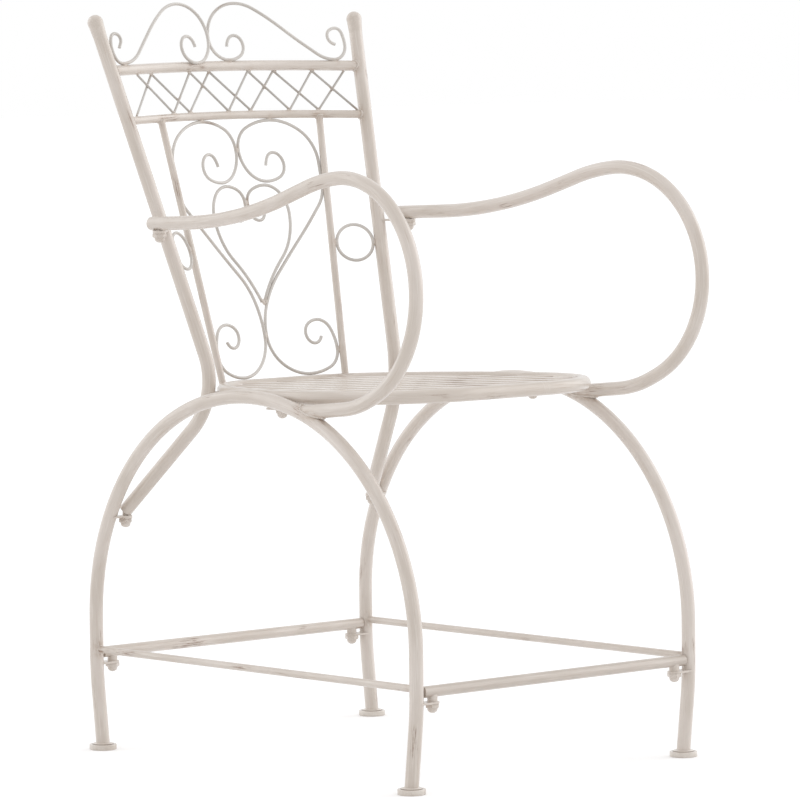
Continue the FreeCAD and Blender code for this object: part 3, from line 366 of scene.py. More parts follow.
# Back posts
# The same 18 mm tube, bent once beside the seat's rear corner. Above the bend it leans back and
# out, below it runs down and back to its bolt at the rear leg.
POST_END = Vector((217.9, 273.94, 316.12))
POST_BEND = Vector((157.97, 152.16, 467.12))
POST_TOP = Vector((226.19, 308.5, 948.28))
POST_BEND_RADIUS, TUBE_STEP = 100.0, 14.0


def bend_through(corners, radius):
    """Centre line in mm that runs from corner to corner and turns each one on a radius."""
    line = [corners[0]]
    for before, corner, after in zip(corners, corners[1:], corners[2:]):
        into, out = (before - corner).normalized(), (after - corner).normalized()
        half = into.angle(out) / 2
        hub = corner + (into + out).normalized() * (radius / math.sin(half))
        start = (corner + into * (radius / math.tan(half)) - hub).normalized()
        end = (corner + out * (radius / math.tan(half)) - hub).normalized()
        pieces = max(3, math.ceil(start.angle(end) * radius / CURVE_STEP))
        line += [hub + start.slerp(end, part / pieces) * radius for part in range(pieces + 1)]
    return line + [corners[-1]]


def mirrored(point, side):
    return Vector((side * point[0], point[1], point[2]))


def evened(line, gap):
    """The same centre line with its long runs split to steps of about a gap."""
    whole = [line[0]]
    for start, end in zip(line, line[1:]):
        pieces = max(1, round((end - start).length / gap))
        whole += [start.lerp(end, part / pieces) for part in range(1, pieces + 1)]
    return whole


post_rise = (POST_TOP - POST_BEND).normalized()
for name, side in SIDES:
    corners = [mirrored(point, side) for point in (POST_END, POST_BEND, POST_TOP)]
    line = evened(bend_through(corners, POST_BEND_RADIUS), TUBE_STEP)
    stand_for(round_bar(f"{name}_post_tube", line, TUBE, tube_paint), f"{name}_back_post")


def post_at(height):
    """Point on the right post's upper part at a height."""
    return POST_BEND + post_rise * ((height - POST_BEND.z) / post_rise.z)


# Finials
# A forged steel ball 21 mm across is welded on the open top of each post. Weld and paint fill
# its neck, so that it flares out of the tube over the last 14 mm.
FINIAL_DIA, FINIAL_SEAT, FINIAL_NECK, FINIAL_FLARE = 21.0, 14.0, 10.2, 14.0

ball_radius = FINIAL_DIA / 2
ball_lift = math.sqrt(ball_radius ** 2 - (FINIAL_SEAT / 2) ** 2)
seat_angle = -math.degrees(math.acos(FINIAL_NECK / ball_radius))
ball = [(max(point.x, 0), ball_lift + point.y)
        for point in arc_points((0, 0), ball_radius, seat_angle, 90, 1.0)]
ball[-1] = (0, ball[-1][1])
neck = [(0, -FINIAL_FLARE), (tube - 0.4, -FINIAL_FLARE), (tube + 0.05, 2 - FINIAL_FLARE),
        (tube + 0.4, 8 - FINIAL_FLARE), (tube + 0.8, 0)]
end_paint = aged_paint("aged_cream_on_finials", wear=0.4, tone=0.3, along_stock=False)
for name, side in SIDES:
    finial = bmesh.new()
    turned(finial, neck + ball, mirrored(POST_TOP, side), mirrored(post_rise, side))
    stand_for(mesh_piece(f"{name}_finial_ball", finial, end_paint), f"{name}_finial")


# Seat ring
# One length of 18 mm tube rolled to a D-like outline and closed with a weld at the back. It
# rises to the front, and hangs from the arches by a bolt on each side.
RING_DIA, RING_HALF, RING_SIDES = 18.0, 219.7, 32
RING_TILT, RING_Z = 1.45, 479.37
RING_FRONT_Y, RING_FRONT_CORNER = -235.3, 158.0
RING_BACK_Y, RING_BACK_CORNER, RING_BACK_STRAIGHT = 208.1, 102.0, 55.0

front_hub = Vector((RING_HALF - RING_FRONT_CORNER, RING_FRONT_Y + RING_FRONT_CORNER, 0))
back_hub = Vector((RING_BACK_STRAIGHT, RING_BACK_Y - RING_BACK_CORNER, 0))
inward = RING_HALF - back_hub.x - RING_BACK_CORNER
flare = RING_BACK_CORNER + (inward ** 2 + (back_hub.y - front_hub.y) ** 2) / (2 * inward)
flare_hub = Vector((RING_HALF - flare, front_hub.y, 0))
swing = math.degrees(math.atan2(back_hub.y - flare_hub.y, back_hub.x - flare_hub.x))
half_ring = (arc_points(front_hub, RING_FRONT_CORNER, -90, 0) + arc_points(flare_hub, flare, 0, swing)[1:]
             + arc_points(back_hub, RING_BACK_CORNER, swing, 90)[1:])
ring_outline = half_ring + [mirrored(point, -1) for point in reversed(half_ring)]


def on_seat(point):
    """A point given in the seat's own plane, moved to where the tilted seat has it."""
    return Matrix.Rotation(-math.radians(RING_TILT), 3, "X") @ point + UP * RING_Z


ring_line = evened([on_seat(point) for point in ring_outline + ring_outline[:1]], TUBE_STEP)[:-1]
ring_paint = aged_paint("aged_cream_on_seat_ring", wear=0.45, tone=0.3)
ring = round_bar("seat_ring_tube", ring_line, RING_DIA, ring_paint, closed=True, sides=RING_SIDES)
stand_for(ring, "seat_ring")


# Seat slats
# Flat steel strip, 16 by 2 mm with rolled edges, laid corner to corner in two crossed layers.
# Every end is welded to the ring and every crossing is tacked.
SLAT_WIDTH, SLAT_THICK, SLAT_EDGE = 16.0, 2.0, 0.7
SLAT_PITCH, SLAT_TOP, SLAT_TURN = 46.0, 3.0, 45.0


def strip_tree():
    """Sweeps a flat strip with rolled edges along each edge of a mesh."""
    tree, given = open_tree("flat strip", {
        "Centre lines": "Geometry", "Width": "Float", "Thickness": "Float", "Rolled edge": "Float"})
    line = add_node(tree, "GeometryNodeMeshToCurve", {"Mesh": given["Centre lines"]})
    finer = add_node(tree, "GeometryNodeResampleCurve", {
        "Curve": line, "Length": RUN_STEP * MM}, mode="LENGTH")
    flat = add_node(tree, "GeometryNodeSetCurveNormal", {"Curve": finer}, mode="Z_UP")
    run = add_node(tree, "GeometryNodeSplineParameter").outputs["Length"]
    section = add_node(tree, "GeometryNodeCurvePrimitiveQuadrilateral", {
        "Width": given["Width"], "Height": given["Thickness"]}, mode="RECTANGLE")
    rolled = add_node(tree, "GeometryNodeFilletCurve", {
        "Curve": section, "Count": 2, "Radius": given["Rolled edge"]}, mode="POLY")
    return close_tree(tree, given, swept_stock(tree, flat, rolled, run))


def aimed(angle):
    """Unit vector at an angle in degrees."""
    return Vector((math.cos(math.radians(angle)), math.sin(math.radians(angle))))


def chord(offset, turn):
    """Where a line at an offset and turn in the seat's plane crosses the ring's centre line."""
    ahead = aimed(turn).to_3d()
    across = Vector((-ahead.y, ahead.x, 0))
    spots = []
    for start, end in zip(ring_outline, ring_outline[1:] + ring_outline[:1]):
        near, far = start.dot(across) - offset, end.dot(across) - offset
        if near * far < 0:
            spots.append(start.lerp(end, near / (near - far)))
    return sorted(spots, key=ahead.dot)


FLAT_STRIP = strip_tree()
# Sitters have rubbed the strips hardest, so brown streaks run along them. Their near-white coat is painted
# reflection: seen almost edge on, the flats would mirror the white studio. Seen almost edge on, the real
# grain is too fine to show, so it is drawn twice as coarse.
SLAT_COAT_AND_SHEEN = ("#FAF7F3", "#EAE2DA", "#CFC2B6")
slat_paint_and_sheen = aged_paint("aged_cream_and_sheen_on_slats", wear=1.0, coat=SLAT_COAT_AND_SHEEN, coarse=2.0)
rows = int(RING_HALF * 1.5 / SLAT_PITCH)
for layer, turn, rise in (("lower", SLAT_TURN, SLAT_TOP - SLAT_THICK / 2),
                          ("upper", -SLAT_TURN, SLAT_TOP + SLAT_THICK / 2)):
    ends = [chord(row * SLAT_PITCH, turn) for row in range(-rows, rows + 1)]
    strips = [[on_seat(spot + UP * rise) for spot in pair] for pair in ends if pair]
    slats = grown(f"{layer}_slats", lines_mesh(layer, strips), FLAT_STRIP, {
        "Width": SLAT_WIDTH * MM, "Thickness": SLAT_THICK * MM, "Rolled edge": SLAT_EDGE * MM,
        "Paint": slat_paint_and_sheen})
    slats.data.set_sharp_from_angle(angle=CRISP)
    stand_for(slats, f"seat_slats_{layer}")


# Rails of the back
# A 14 mm and an 11 mm bar between the posts, both rolled to a bow that eases the sitter's back,
# and welded to the posts at their ends.
LATTICE_RAIL_Z, LATTICE_RAIL_DIA = 826.82, 11.0
TOP_RAIL_Z, TOP_RAIL_DIA = 892.32, 14.0
RAIL_BOW, RAIL_RISE, RAIL_STEPS = 32.0, 3.2, 40


def rail_at(height, offset):
    """Centre of a rail at a distance from the middle."""
    end = post_at(height)
    sag = math.hypot(RAIL_BOW, RAIL_RISE)
    radius = (end.x ** 2 + sag ** 2) / (2 * sag)
    drop = (radius - math.sqrt(radius ** 2 - offset ** 2)) / sag
    return Vector((offset, end.y + RAIL_BOW * (1 - drop), height + RAIL_RISE * (1 - drop)))


for name, height, diameter in (("lattice_rail", LATTICE_RAIL_Z, LATTICE_RAIL_DIA),
                               ("top_rail", TOP_RAIL_Z, TOP_RAIL_DIA)):
    half = post_at(height).x
    line = [rail_at(height, half * part / RAIL_STEPS) for part in range(-RAIL_STEPS, RAIL_STEPS + 1)]
    stand_for(round_bar(f"{name}_bar", line, diameter, tube_paint), name)


# Uprights
# Straight 9.5 mm rods from the seat ring to the lattice rail. They stand further apart at the
# top, and carry the scrolls between them.
UPRIGHT_DIA, UPRIGHT_FOOT_X, UPRIGHT_HEAD_X = 9.5, 108.0, 139.0
PANEL_FOOT_Y, PANEL_FOOT_Z = 215.6, 480.02
PANEL_SLOPE, PANEL_WING = 0.24879, 0.12
ROD_SIDES = 20


def on_panel(offset, height, side):
    """A point of the back's shallow V at a height and a distance from the middle."""
    rise = height - PANEL_FOOT_Z
    return Vector((side * offset, PANEL_FOOT_Y + rise * PANEL_SLOPE - PANEL_WING * offset, height))


def upright_x(height):
    share = (height - PANEL_FOOT_Z) / (LATTICE_RAIL_Z - PANEL_FOOT_Z)
    return UPRIGHT_FOOT_X + share * (UPRIGHT_HEAD_X - UPRIGHT_FOOT_X)


# Thin rods are handled most, so more brown shows along them.
rod_paint = aged_paint("aged_cream_on_rods", wear=0.85, tone=0.05)
for name, side in SIDES:
    foot = on_panel(UPRIGHT_FOOT_X, PANEL_FOOT_Z, side)
    head = on_panel(UPRIGHT_HEAD_X, LATTICE_RAIL_Z, side)
    foot -= (head - foot).normalized() * RING_DIA / 2
    line = evened([foot, head], RUN_STEP)
    rod = round_bar(f"{name}_upright_rod", line, UPRIGHT_DIA, rod_paint, sides=ROD_SIDES)
    stand_for(rod, f"{name}_upright")


# Lattice wires
# Two wires bent zigzag, one before and one behind the middle of the rails, so that they cross in
# long diamonds. Their bends lie on the rails and are tacked there. They look 3.2 mm thick.
LATTICE_DIA, LATTICE_SIDES, LATTICE_STEP = 3.2, 14, 8.0
LATTICE_BEND, LATTICE_RUNS, LATTICE_LIFT = 3.0, 7, 0.2
FRONT_LATTICE, REAR_LATTICE = (-164.0, 51.5), (-187.0, 54.7)

# The thinnest wire's cream is painted duller and greyer still: painted shade for the dark edges that blur
# across it.
LATTICE_COAT_AND_SHADE = ("#D2CFCA", "#C1BDB8", "#B2ADA7")
lattice_paint_and_shade = aged_paint("aged_and_shaded_cream_on_lattice", wear=0.6, coat=LATTICE_COAT_AND_SHADE)
for name, side, (first, pitch) in (("front", -1, FRONT_LATTICE), ("rear", 1, REAR_LATTICE)):
    radius = LATTICE_DIA / 2
    corners = []
    for bend in range(LATTICE_RUNS + 1):
        on_top = bend % 2 == (0 if side < 0 else 1)
        rail_z, rail_dia, sense = ((TOP_RAIL_Z, TOP_RAIL_DIA, -1) if on_top
                                   else (LATTICE_RAIL_Z, LATTICE_RAIL_DIA, 1))
        rail = rail_at(rail_z, first + pitch * bend)
        corners.append(rail + Vector((0, side * radius, sense * (rail_dia / 2 + radius * LATTICE_LIFT))))
    line = evened(bend_through(corners, LATTICE_BEND), LATTICE_STEP)
    wire = round_bar(f"{name}_lattice", line, LATTICE_DIA, lattice_paint_and_shade, sides=LATTICE_SIDES)
    stand_for(wire, f"{name}_lattice_wire")


# Scrollwork
# Round wire that looks 4.4 mm thick, bent cold round pegs: each side of the back has a tall S with
# a curl at both ends, half of a heart and a crest scroll, tacked to each other where they touch.
WIRE_DIA, WIRE_SIDES = 4.4, 18
CREST_HEIGHT, CREST_MEET, FOOT_MEET = 86.7, -20.0, -6.0
WELD_GAP, SET_BACK, ARC_STEP = 0.05, 3.5, 2.5
PANEL_WIDE, PANEL_TALL = UPRIGHT_HEAD_X, LATTICE_RAIL_Z - PANEL_FOOT_Z


def arc_from(start, heading, end):
    """Points of the arc that leaves start along heading and ends at end, start left out."""
    span = end - start
    normal = Vector((-heading.y, heading.x))
    across = span.dot(normal)
    if abs(across) < 1e-6 * span.length:
        return [start.lerp(end, part / 4) for part in range(1, 5)]
    radius = span.length_squared / (2 * across)
    hub = start + normal * radius
    swing = 2 * math.atan2(across, span.dot(heading))
    pieces = max(3, math.ceil(abs(swing * radius) / ARC_STEP))
    first = start - hub
    turned_by = (Matrix.Rotation(swing * part / pieces, 2) for part in range(1, pieces + 1))
    return [hub + turn @ first for turn in turned_by]


def scroll_line(turns, side, behind):
    """Wire bent to pairs of tangent arcs through turns of distance, height and heading."""
    flat = [Vector(turns[0][:2])]
    for (x0, z0, a0), (x1, z1, a1) in zip(turns, turns[1:]):
        start, end, leave, arrive = Vector((x0, z0)), Vector((x1, z1)), aimed(a0), aimed(a1)
        span, bend = end - start, 2 * (leave.dot(arrive) - 1)
        reach = span.dot(leave + arrive)
        if abs(bend) < 1e-9:
            arm_length = span.length_squared / (2 * reach)
        else:
            root = math.sqrt(reach ** 2 - bend * span.length_squared)
            arm_length = (reach - root) / bend
            if arm_length < 0:
                arm_length = (reach + root) / bend
        joint = (start + leave * arm_length + end - arrive * arm_length) / 2
        flat += arc_from(start, leave, joint)
        flat += arc_from(end, -arrive, joint)[-2::-1] + [end]
    return [on_panel(point.x, point.y, side) + Vector((0, behind, 0)) for point in flat]


def resting_height(bar, reach, offset, sense, behind=0.0):
    """Height at which a wire on the panel touches a bar above or below it."""
    gap = on_panel(offset, bar.z, 1).y + behind - bar.y
    return bar.z + sense * math.sqrt(max((reach + WIRE_DIA / 2) ** 2 - gap ** 2, 0))


def panel_z(rise):
    return PANEL_FOOT_Z + rise * PANEL_TALL


touch = WIRE_DIA / 2 + WELD_GAP


def back_turns(side):
    """Top curl, round the top loop, down the diagonal, round the foot loop, lower curl."""
    meet = side * FOOT_MEET
    clear = math.sqrt(((UPRIGHT_DIA + WIRE_DIA) / 2) ** 2 - SET_BACK ** 2)

    def at(across, rise, heading):
        return across * PANEL_WIDE, panel_z(rise), heading

    def beside_upright(rise, heading):
        return upright_x(panel_z(rise)) - clear, panel_z(rise), heading

    crown_x, foot_x = 0.428 * PANEL_WIDE, 0.417 * PANEL_WIDE + meet / 2
    crown = resting_height(rail_at(LATTICE_RAIL_Z, crown_x), LATTICE_RAIL_DIA / 2, crown_x, -1, SET_BACK)
    ring_back = Vector((foot_x, RING_BACK_Y, RING_Z - RING_BACK_Y * math.tan(math.radians(RING_TILT))))
    foot = resting_height(ring_back, RING_DIA / 2, foot_x, 1, SET_BACK)
    return [at(0.302, 0.813, 80), at(0.403, 0.862, 0), at(0.511, 0.813, -90), at(0.288, 0.7525, 180),
            (touch, panel_z(0.874), 90), (crown_x, crown, 0), beside_upright(0.822, -90),
            at(0.834, 0.6545, -131), (0.249 * PANEL_WIDE + meet / 2, panel_z(0.398), -133),
            (touch + meet, panel_z(0.1685), -90), (foot_x, foot, 0), beside_upright(0.1065, 90),
            at(0.5755, 0.2175, 180), at(0.4245, 0.1685, -90), at(0.5145, 0.1285, 0), at(0.597, 0.153, 70)]


def heart_turns(side):
    """Curl, up the middle, round the lobe under the big scroll's curl, down to the point."""
    shape = ((0.2015, 0.643, -100), (0.1225, 0.604, 180), (0, 0.672, 90), (0.2375, 0.738, 0),
             (0.475, 0.6285, -90), (0, 0.294, -116))
    return [(max(across * PANEL_WIDE, touch), panel_z(rise), heading) for across, rise, heading in shape]


def crest_turns(side):
    """Inner curl, up the meeting line, over the crest, down to the rail, outer curl."""
    meet = side * CREST_MEET
    rail_half = post_at(TOP_RAIL_Z).x

    def inner(across, rise, heading):
        return meet + across * CREST_HEIGHT, TOP_RAIL_Z + rise * CREST_HEIGHT, heading

    def outer(across, rise, heading):
        return across * rail_half, TOP_RAIL_Z + rise * CREST_HEIGHT, heading

    def on_rail(offset, heading):
        return offset, resting_height(rail_at(TOP_RAIL_Z, offset), TOP_RAIL_DIA / 2, offset, 1), heading

    turns = [inner(0.3425, 0.337, 80), inner(0.5015, 0.504, 0), inner(0.646, 0.3425, -90),
             on_rail(meet + 0.354 * CREST_HEIGHT, 180), (meet + touch, TOP_RAIL_Z + 0.458 * CREST_HEIGHT, 90),
             inner(0.6, 1, 0)]
    if side < 0:
        return turns + [outer(0.6, 0.615, -46), on_rail(0.878 * rail_half, 0), outer(0.957, 0.39, 90),
                        outer(0.912, 0.565, 180), outer(0.867, 0.47, -90), outer(0.89, 0.35, -60)]
    return turns + [outer(0.394, 0.7405, -34), outer(0.588, 0.392, -34), on_rail(0.8265 * rail_half, 0),
                    outer(0.921, 0.3425, 90), outer(0.867, 0.594, 180), outer(0.8, 0.4695, -90),
                    outer(0.848, 0.3425, -10)]


# The wire's coat is a little cooler than the tube's, and darker: painted shade for the dark edges that blur
# across so thin a wire.
WIRE_COAT_AND_SHADE = ("#E2DED9", "#D3CEC8", "#C3BDB6")
wire_paint_and_shade = aged_paint("aged_and_shaded_cream_on_scroll_wire", wear=0.6, coat=WIRE_COAT_AND_SHADE)
for kind, turns_of, behind in (("back_scroll", back_turns, SET_BACK), ("heart_wire", heart_turns, SET_BACK),
                               ("crest_scroll", crest_turns, 0.0)):
    for name, side in SIDES:
        line = scroll_line(turns_of(side), side, behind)
        wire = round_bar(f"{name}_{kind}_bent", line, WIRE_DIA, wire_paint_and_shade, sides=WIRE_SIDES)
        stand_for(wire, f"{name}_{kind}")


# Side rings
# A ring of the same wire, rolled and closed with a butt weld, fills the gap between each upright
# and post and is tacked to both.
SIDE_RING_Z, SIDE_RING_STEPS = 656.02, 64

for name, side in SIDES:
    near = on_panel(upright_x(SIDE_RING_Z), SIDE_RING_Z, side)
    far = mirrored(post_at(SIDE_RING_Z), side)
    across = (far - near).normalized()
    free = (far - near).length - (TUBE + UPRIGHT_DIA) / 2
    axis = across.cross(mirrored(post_rise, side)).normalized()
    up_ring = axis.cross(across)
    centre = near + across * (UPRIGHT_DIA + free) / 2
    radius = (free - WIRE_DIA) / 2
    turns = (math.tau * part / SIDE_RING_STEPS for part in range(SIDE_RING_STEPS))
    line = [centre + across * radius * math.cos(turn) + up_ring * radius * math.sin(turn) for turn in turns]
    ring = round_bar(f"{name}_side_ring_wire", line, WIRE_DIA, wire_paint_and_shade, closed=True, sides=WIRE_SIDES)
    stand_for(ring, f"{name}_side_ring")


# Arms
# One 18 mm tube each: it rises forward from the post, loops down and back, levels out and is
# welded into the arch. The open rear end is closed with a chamfered plug.
ARM_START = Vector((218.46, 210.16, 694.87))
ARM_SPLAY, ARM_SLOPE = 3.294, 2.35
ARM_STEPS = [(80.0,), (750.0, 15.6, 1), (46.9,), (291.0, 12.4, -1), (141.4, 160.0, -1), (10.0,),
             (170.0, 20.0, -1), (84.0,)]
ARM_CAP, ARM_CAP_SIDES = 3.0, 32

splay, slope = math.radians(ARM_SPLAY), math.radians(ARM_SLOPE)
plug_outline = [(0, 0), (tube, 0), (tube, ARM_CAP / 3), (tube - 0.8, ARM_CAP * 0.75), (TUBE * 0.35, ARM_CAP),
                (0, ARM_CAP)]
for name, side in SIDES:
    ahead = Vector((side * math.sin(splay), -math.cos(splay), 0))
    heading = ahead * math.cos(slope) + UP * math.sin(slope)
    rising = UP * math.cos(slope) - ahead * math.sin(slope)
    start = mirrored(ARM_START, side)
    line = bent_stock(start, heading, rising, ARM_STEPS)
    stand_for(round_bar(f"{name}_arm_tube", line, TUBE, tube_paint), f"{name}_arm")
    plug = bmesh.new()
    turned(plug, plug_outline, start, -heading, ARM_CAP_SIDES)
    stand_for(mesh_piece(f"{name}_arm_plug", plug, end_paint), f"{name}_arm_cap")


# Stretchers and side rods
# A 14.5 mm tube crosses between the front legs and another between the rear legs, bolted to
# tabs. A thinner rod joins front leg to rear leg on each side, welded at both ends.
STRETCHER_DIA, STRETCHER_Z, STRETCHER_HALF = 14.5, 127.3, 228.7
STRETCHER_Y = 312.15
ROD_DIA, ROD_Z = 9.5, 132.0

# Shoes have rubbed both stretchers. The front one's coat is painted darker: painted shade, to offset the
# extra light the right soft box throws on its face.
FRONT_STRETCHER_SHADE_COAT = ("#E0D7CE", "#CABFB5", "#C0B5AA")
for name, fore, coat in (("front", -1, FRONT_STRETCHER_SHADE_COAT), ("rear", 1, FRAME_COAT)):
    stretcher_paint = aged_paint(f"aged_cream_on_{name}_stretcher", wear=0.7, tone=0.4, coat=coat)
    ends = [Vector((half * STRETCHER_HALF, fore * STRETCHER_Y, STRETCHER_Z)) for half in (-1, 1)]
    bar = round_bar(f"{name}_stretcher_tube", evened(ends, RUN_STEP), STRETCHER_DIA, stretcher_paint)
    stand_for(bar, f"{name}_stretcher")
for name, side in SIDES:
    ends = [Vector((side * ARCH_X, fore * STRETCHER_Y, ROD_Z)) for fore in (-1, 1)]
    rod = round_bar(f"{name}_side_rod_bar", evened(ends, RUN_STEP), ROD_DIA, rod_paint, sides=ROD_SIDES)
    stand_for(rod, f"{name}_side_rod")


# Brackets
# Tabs, spacer sleeves, washers, plugs and lugs, cut from steel stock and painted in place with
# the frame. Their modelled shapes are the real ones, so they stay.
BRACKETS = ("stretcher_tabs", "stretcher_sleeves", "arm_tabs", "arm_washers", "post_tabs", "post_plugs",
            "post_washers", "seat_tabs", "seat_sleeves", "seat_lugs")
STUDS = ("stretcher_studs", "arm_studs", "post_studs", "seat_studs")

bracket_paint = aged_paint("aged_cream_on_brackets", along_stock=False)
for node in BRACKETS + STUDS:
    bpy.data.objects[node].data.materials.clear()
    bpy.data.objects[node].data.materials.append(bracket_paint)


# Cap nuts
# Acorn nuts, 16 mm across the flats, hold every tab. Each was left turned as it tightened, and
# was painted over with the frame.
NUT_FLATS, NUT_HEIGHT, NUT_SIDES = 16.0, 5.5, 48
DOME_DIA, DOME_HEIGHT, DOME_NECK, DOME_TURNS = 13.0, 6.5, 1.2, range(10, 90, 14)
UPPER_CHAMFER, LOWER_CHAMFER, PAST_CORNER, NUT_CRISP = 0.7, 1.0, 1.16, 40


def acorn_nut(paint):
    """A nut that hangs from the origin: chamfered hexagon, then the dome."""
    apothem = NUT_FLATS / 2
    past = apothem * PAST_CORNER
    levels = [(0.0, apothem * 0.97), (-UPPER_CHAMFER, past), (-NUT_HEIGHT + LOWER_CHAMFER, past),
              (-NUT_HEIGHT, apothem * 0.94), (-NUT_HEIGHT, DOME_DIA / 2)]
    for lean in map(math.radians, DOME_TURNS):
        levels.append((-NUT_HEIGHT - DOME_NECK - (DOME_HEIGHT - DOME_NECK) * math.sin(lean),
                       DOME_DIA / 2 * math.cos(lean)))
    bm, rings = bmesh.new(), []
    for height, reach in levels:
        rings.append([])
        for turn in (math.tau * part / NUT_SIDES for part in range(NUT_SIDES)):
            flat = apothem / math.cos((turn + math.pi / 6) % (math.pi / 3) - math.pi / 6)
            radius = min(flat, reach)
            rings[-1].append(bm.verts.new(
                Vector((math.cos(turn) * radius, math.sin(turn) * radius, height)) * MM))
    for low, high in zip(rings, rings[1:]):
        for part in range(NUT_SIDES):
            bm.faces.new((low[part], low[part - 1], high[part - 1], high[part]))
    bm.faces.new(rings[0])
    bm.faces.new(rings[-1][::-1])
    return mesh_piece("acorn_nut", bm, paint, math.radians(NUT_CRISP))


def nut_tree():
    """Hangs a nut from every point, each with its own spin about its stud."""
    tree, given = open_tree("nuts on studs", {"Studs": "Geometry", "Nut": "Object", "Seed": "Int"})
    nut = add_node(tree, "GeometryNodeObjectInfo", {"Object": given["Nut"]}).outputs["Geometry"]
    spin = add_node(tree, "FunctionNodeRandomValue", {
        "Min": (0.0, 0.0, 0.0), "Max": (0.0, 0.0, math.tau), "Seed": given["Seed"]},
        data_type="FLOAT_VECTOR")
    return close_tree(tree, given, add_node(tree, "GeometryNodeInstanceOnPoints", {
        "Points": given["Studs"], "Instance": nut, "Rotation": spin}))


def nut_seats(node):
    """Middle of each nut's upper face, one nut to a corner or side of the chair."""
    corners = {}
    for vertex in bpy.data.objects[node].data.vertices:
        corners.setdefault((vertex.co.x > 0, vertex.co.y > 0), []).append(vertex.co / MM)
    for points in corners.values():
        low, high = (Vector([pick(axis) for axis in zip(*points)]) for pick in (min, max))
        yield [Vector(((low.x + high.x) / 2, (low.y + high.y) / 2, high.z))]


nut_paint = aged_paint("aged_cream_on_nuts", along_stock=False)
nut, NUTS_ON_STUDS = acorn_nut(nut_paint), nut_tree()
for seed, node in enumerate(("stretcher_cap_nuts", "arm_cap_nuts", "post_cap_nuts", "seat_cap_nuts")):
    nuts = grown(f"{node}_turned", lines_mesh(node, nut_seats(node)), NUTS_ON_STUDS, {
        "Nut": nut, "Seed": seed, "Paint": nut_paint})
    stand_for(nuts, node)
bpy.data.objects.remove(nut)


# Welds
# Gas-welded beads ring each coped joint and small tacks hold the scrollwork wherever one wire
# touches another piece. They were painted over with the frame and left rough.
BEAD, ROD_BEAD, BEAD_SIDES, BEAD_LUMP, BEAD_SWELL = 1.6, 0.7, 10, 3.0, 1.2
SEAM_REACH, SEAM_STEPS = 60.0, 36
TACK_LENGTH, TACK_SHORTEST, TACK_LONGEST, TACK_GIRTH = 4.2, 0.8, 1.25, 1.02
TACK_LUMP, TACK_SWELL, TACK_GAP, TACK_STEP = 2.2, 1.1, 0.6, 2.0
JOINT_REACH = 25.0


def roughened(tree, shape, field, swell):
    """Push a weld's surface in and out by up to half of swell, then smooth its shading."""
    swing = add_node(tree, "ShaderNodeMath", {0: field, 1: 0.5}, operation="SUBTRACT")
    lift = add_node(tree, "ShaderNodeMath", {0: swing, 1: swell}, operation="MULTIPLY")
    outward = add_node(tree, "GeometryNodeInputNormal")
    shift = add_node(tree, "ShaderNodeVectorMath", {0: outward, "Scale": lift}, operation="SCALE")
    moved = add_node(tree, "GeometryNodeSetPosition", {"Geometry": shape, "Offset": shift})
    return add_node(tree, "GeometryNodeSetShadeSmooth", {"Geometry": moved})


def weld_tree():
    """Swells a round bead along closed or open seams, uneven as a hand-laid weld is."""
    tree, given = open_tree("weld bead", {
        "Seams": "Geometry", "Bead": "Float", "Unevenness": "Float", "Seed": "Float"})
    line = add_node(tree, "GeometryNodeMeshToCurve", {"Mesh": given["Seams"]})
    ring = add_node(tree, "GeometryNodeCurvePrimitiveCircle", {
        "Resolution": BEAD_SIDES, "Radius": given["Bead"]})
    swept = add_node(tree, "GeometryNodeCurveToMesh", {
        "Curve": line, "Profile Curve": ring, "Fill Caps": True})
    field = add_node(tree, "ShaderNodeTexNoise", {
        "W": given["Seed"], "Scale": 1.0 / (BEAD_LUMP * MM), "Detail": 2.0}, noise_dimensions="4D")
    return close_tree(tree, given, roughened(tree, swept, field, given["Unevenness"]))


def tack_tree():
    """Sets a lump of weld at every point, drawn out along the wire there."""
    tree, given = open_tree("weld tacks", {
        "Spots": "Geometry", "Half length": "Float", "Unevenness": "Float", "Seed": "Int"})
    lump = add_node(tree, "GeometryNodeMeshIcoSphere", {"Radius": 1.0, "Subdivisions": 3})
    along = add_node(tree, "GeometryNodeInputNamedAttribute", {"Name": "along"}, data_type="FLOAT_VECTOR")
    girth = add_node(tree, "GeometryNodeInputNamedAttribute", {"Name": "girth"}, data_type="FLOAT")
    turn = add_node(tree, "FunctionNodeAlignRotationToVector", {"Vector": along}, axis="Z")
    spread = add_node(tree, "FunctionNodeRandomValue", {
        2: TACK_SHORTEST, 3: TACK_LONGEST, "Seed": given["Seed"]}, data_type="FLOAT").outputs[1]
    length = add_node(tree, "ShaderNodeMath", {0: given["Half length"], 1: spread}, operation="MULTIPLY")
    size = add_node(tree, "ShaderNodeCombineXYZ", {0: girth, 1: girth, 2: length})
    lumps = add_node(tree, "GeometryNodeInstanceOnPoints", {
        "Points": given["Spots"], "Instance": lump, "Rotation": turn, "Scale": size})
    real = add_node(tree, "GeometryNodeRealizeInstances", {"Geometry": lumps})
    field = add_node(tree, "ShaderNodeTexNoise", {"Scale": 1.0 / (TACK_LUMP * MM), "Detail": 2.0})
    return close_tree(tree, given, roughened(tree, real, field, given["Unevenness"]))


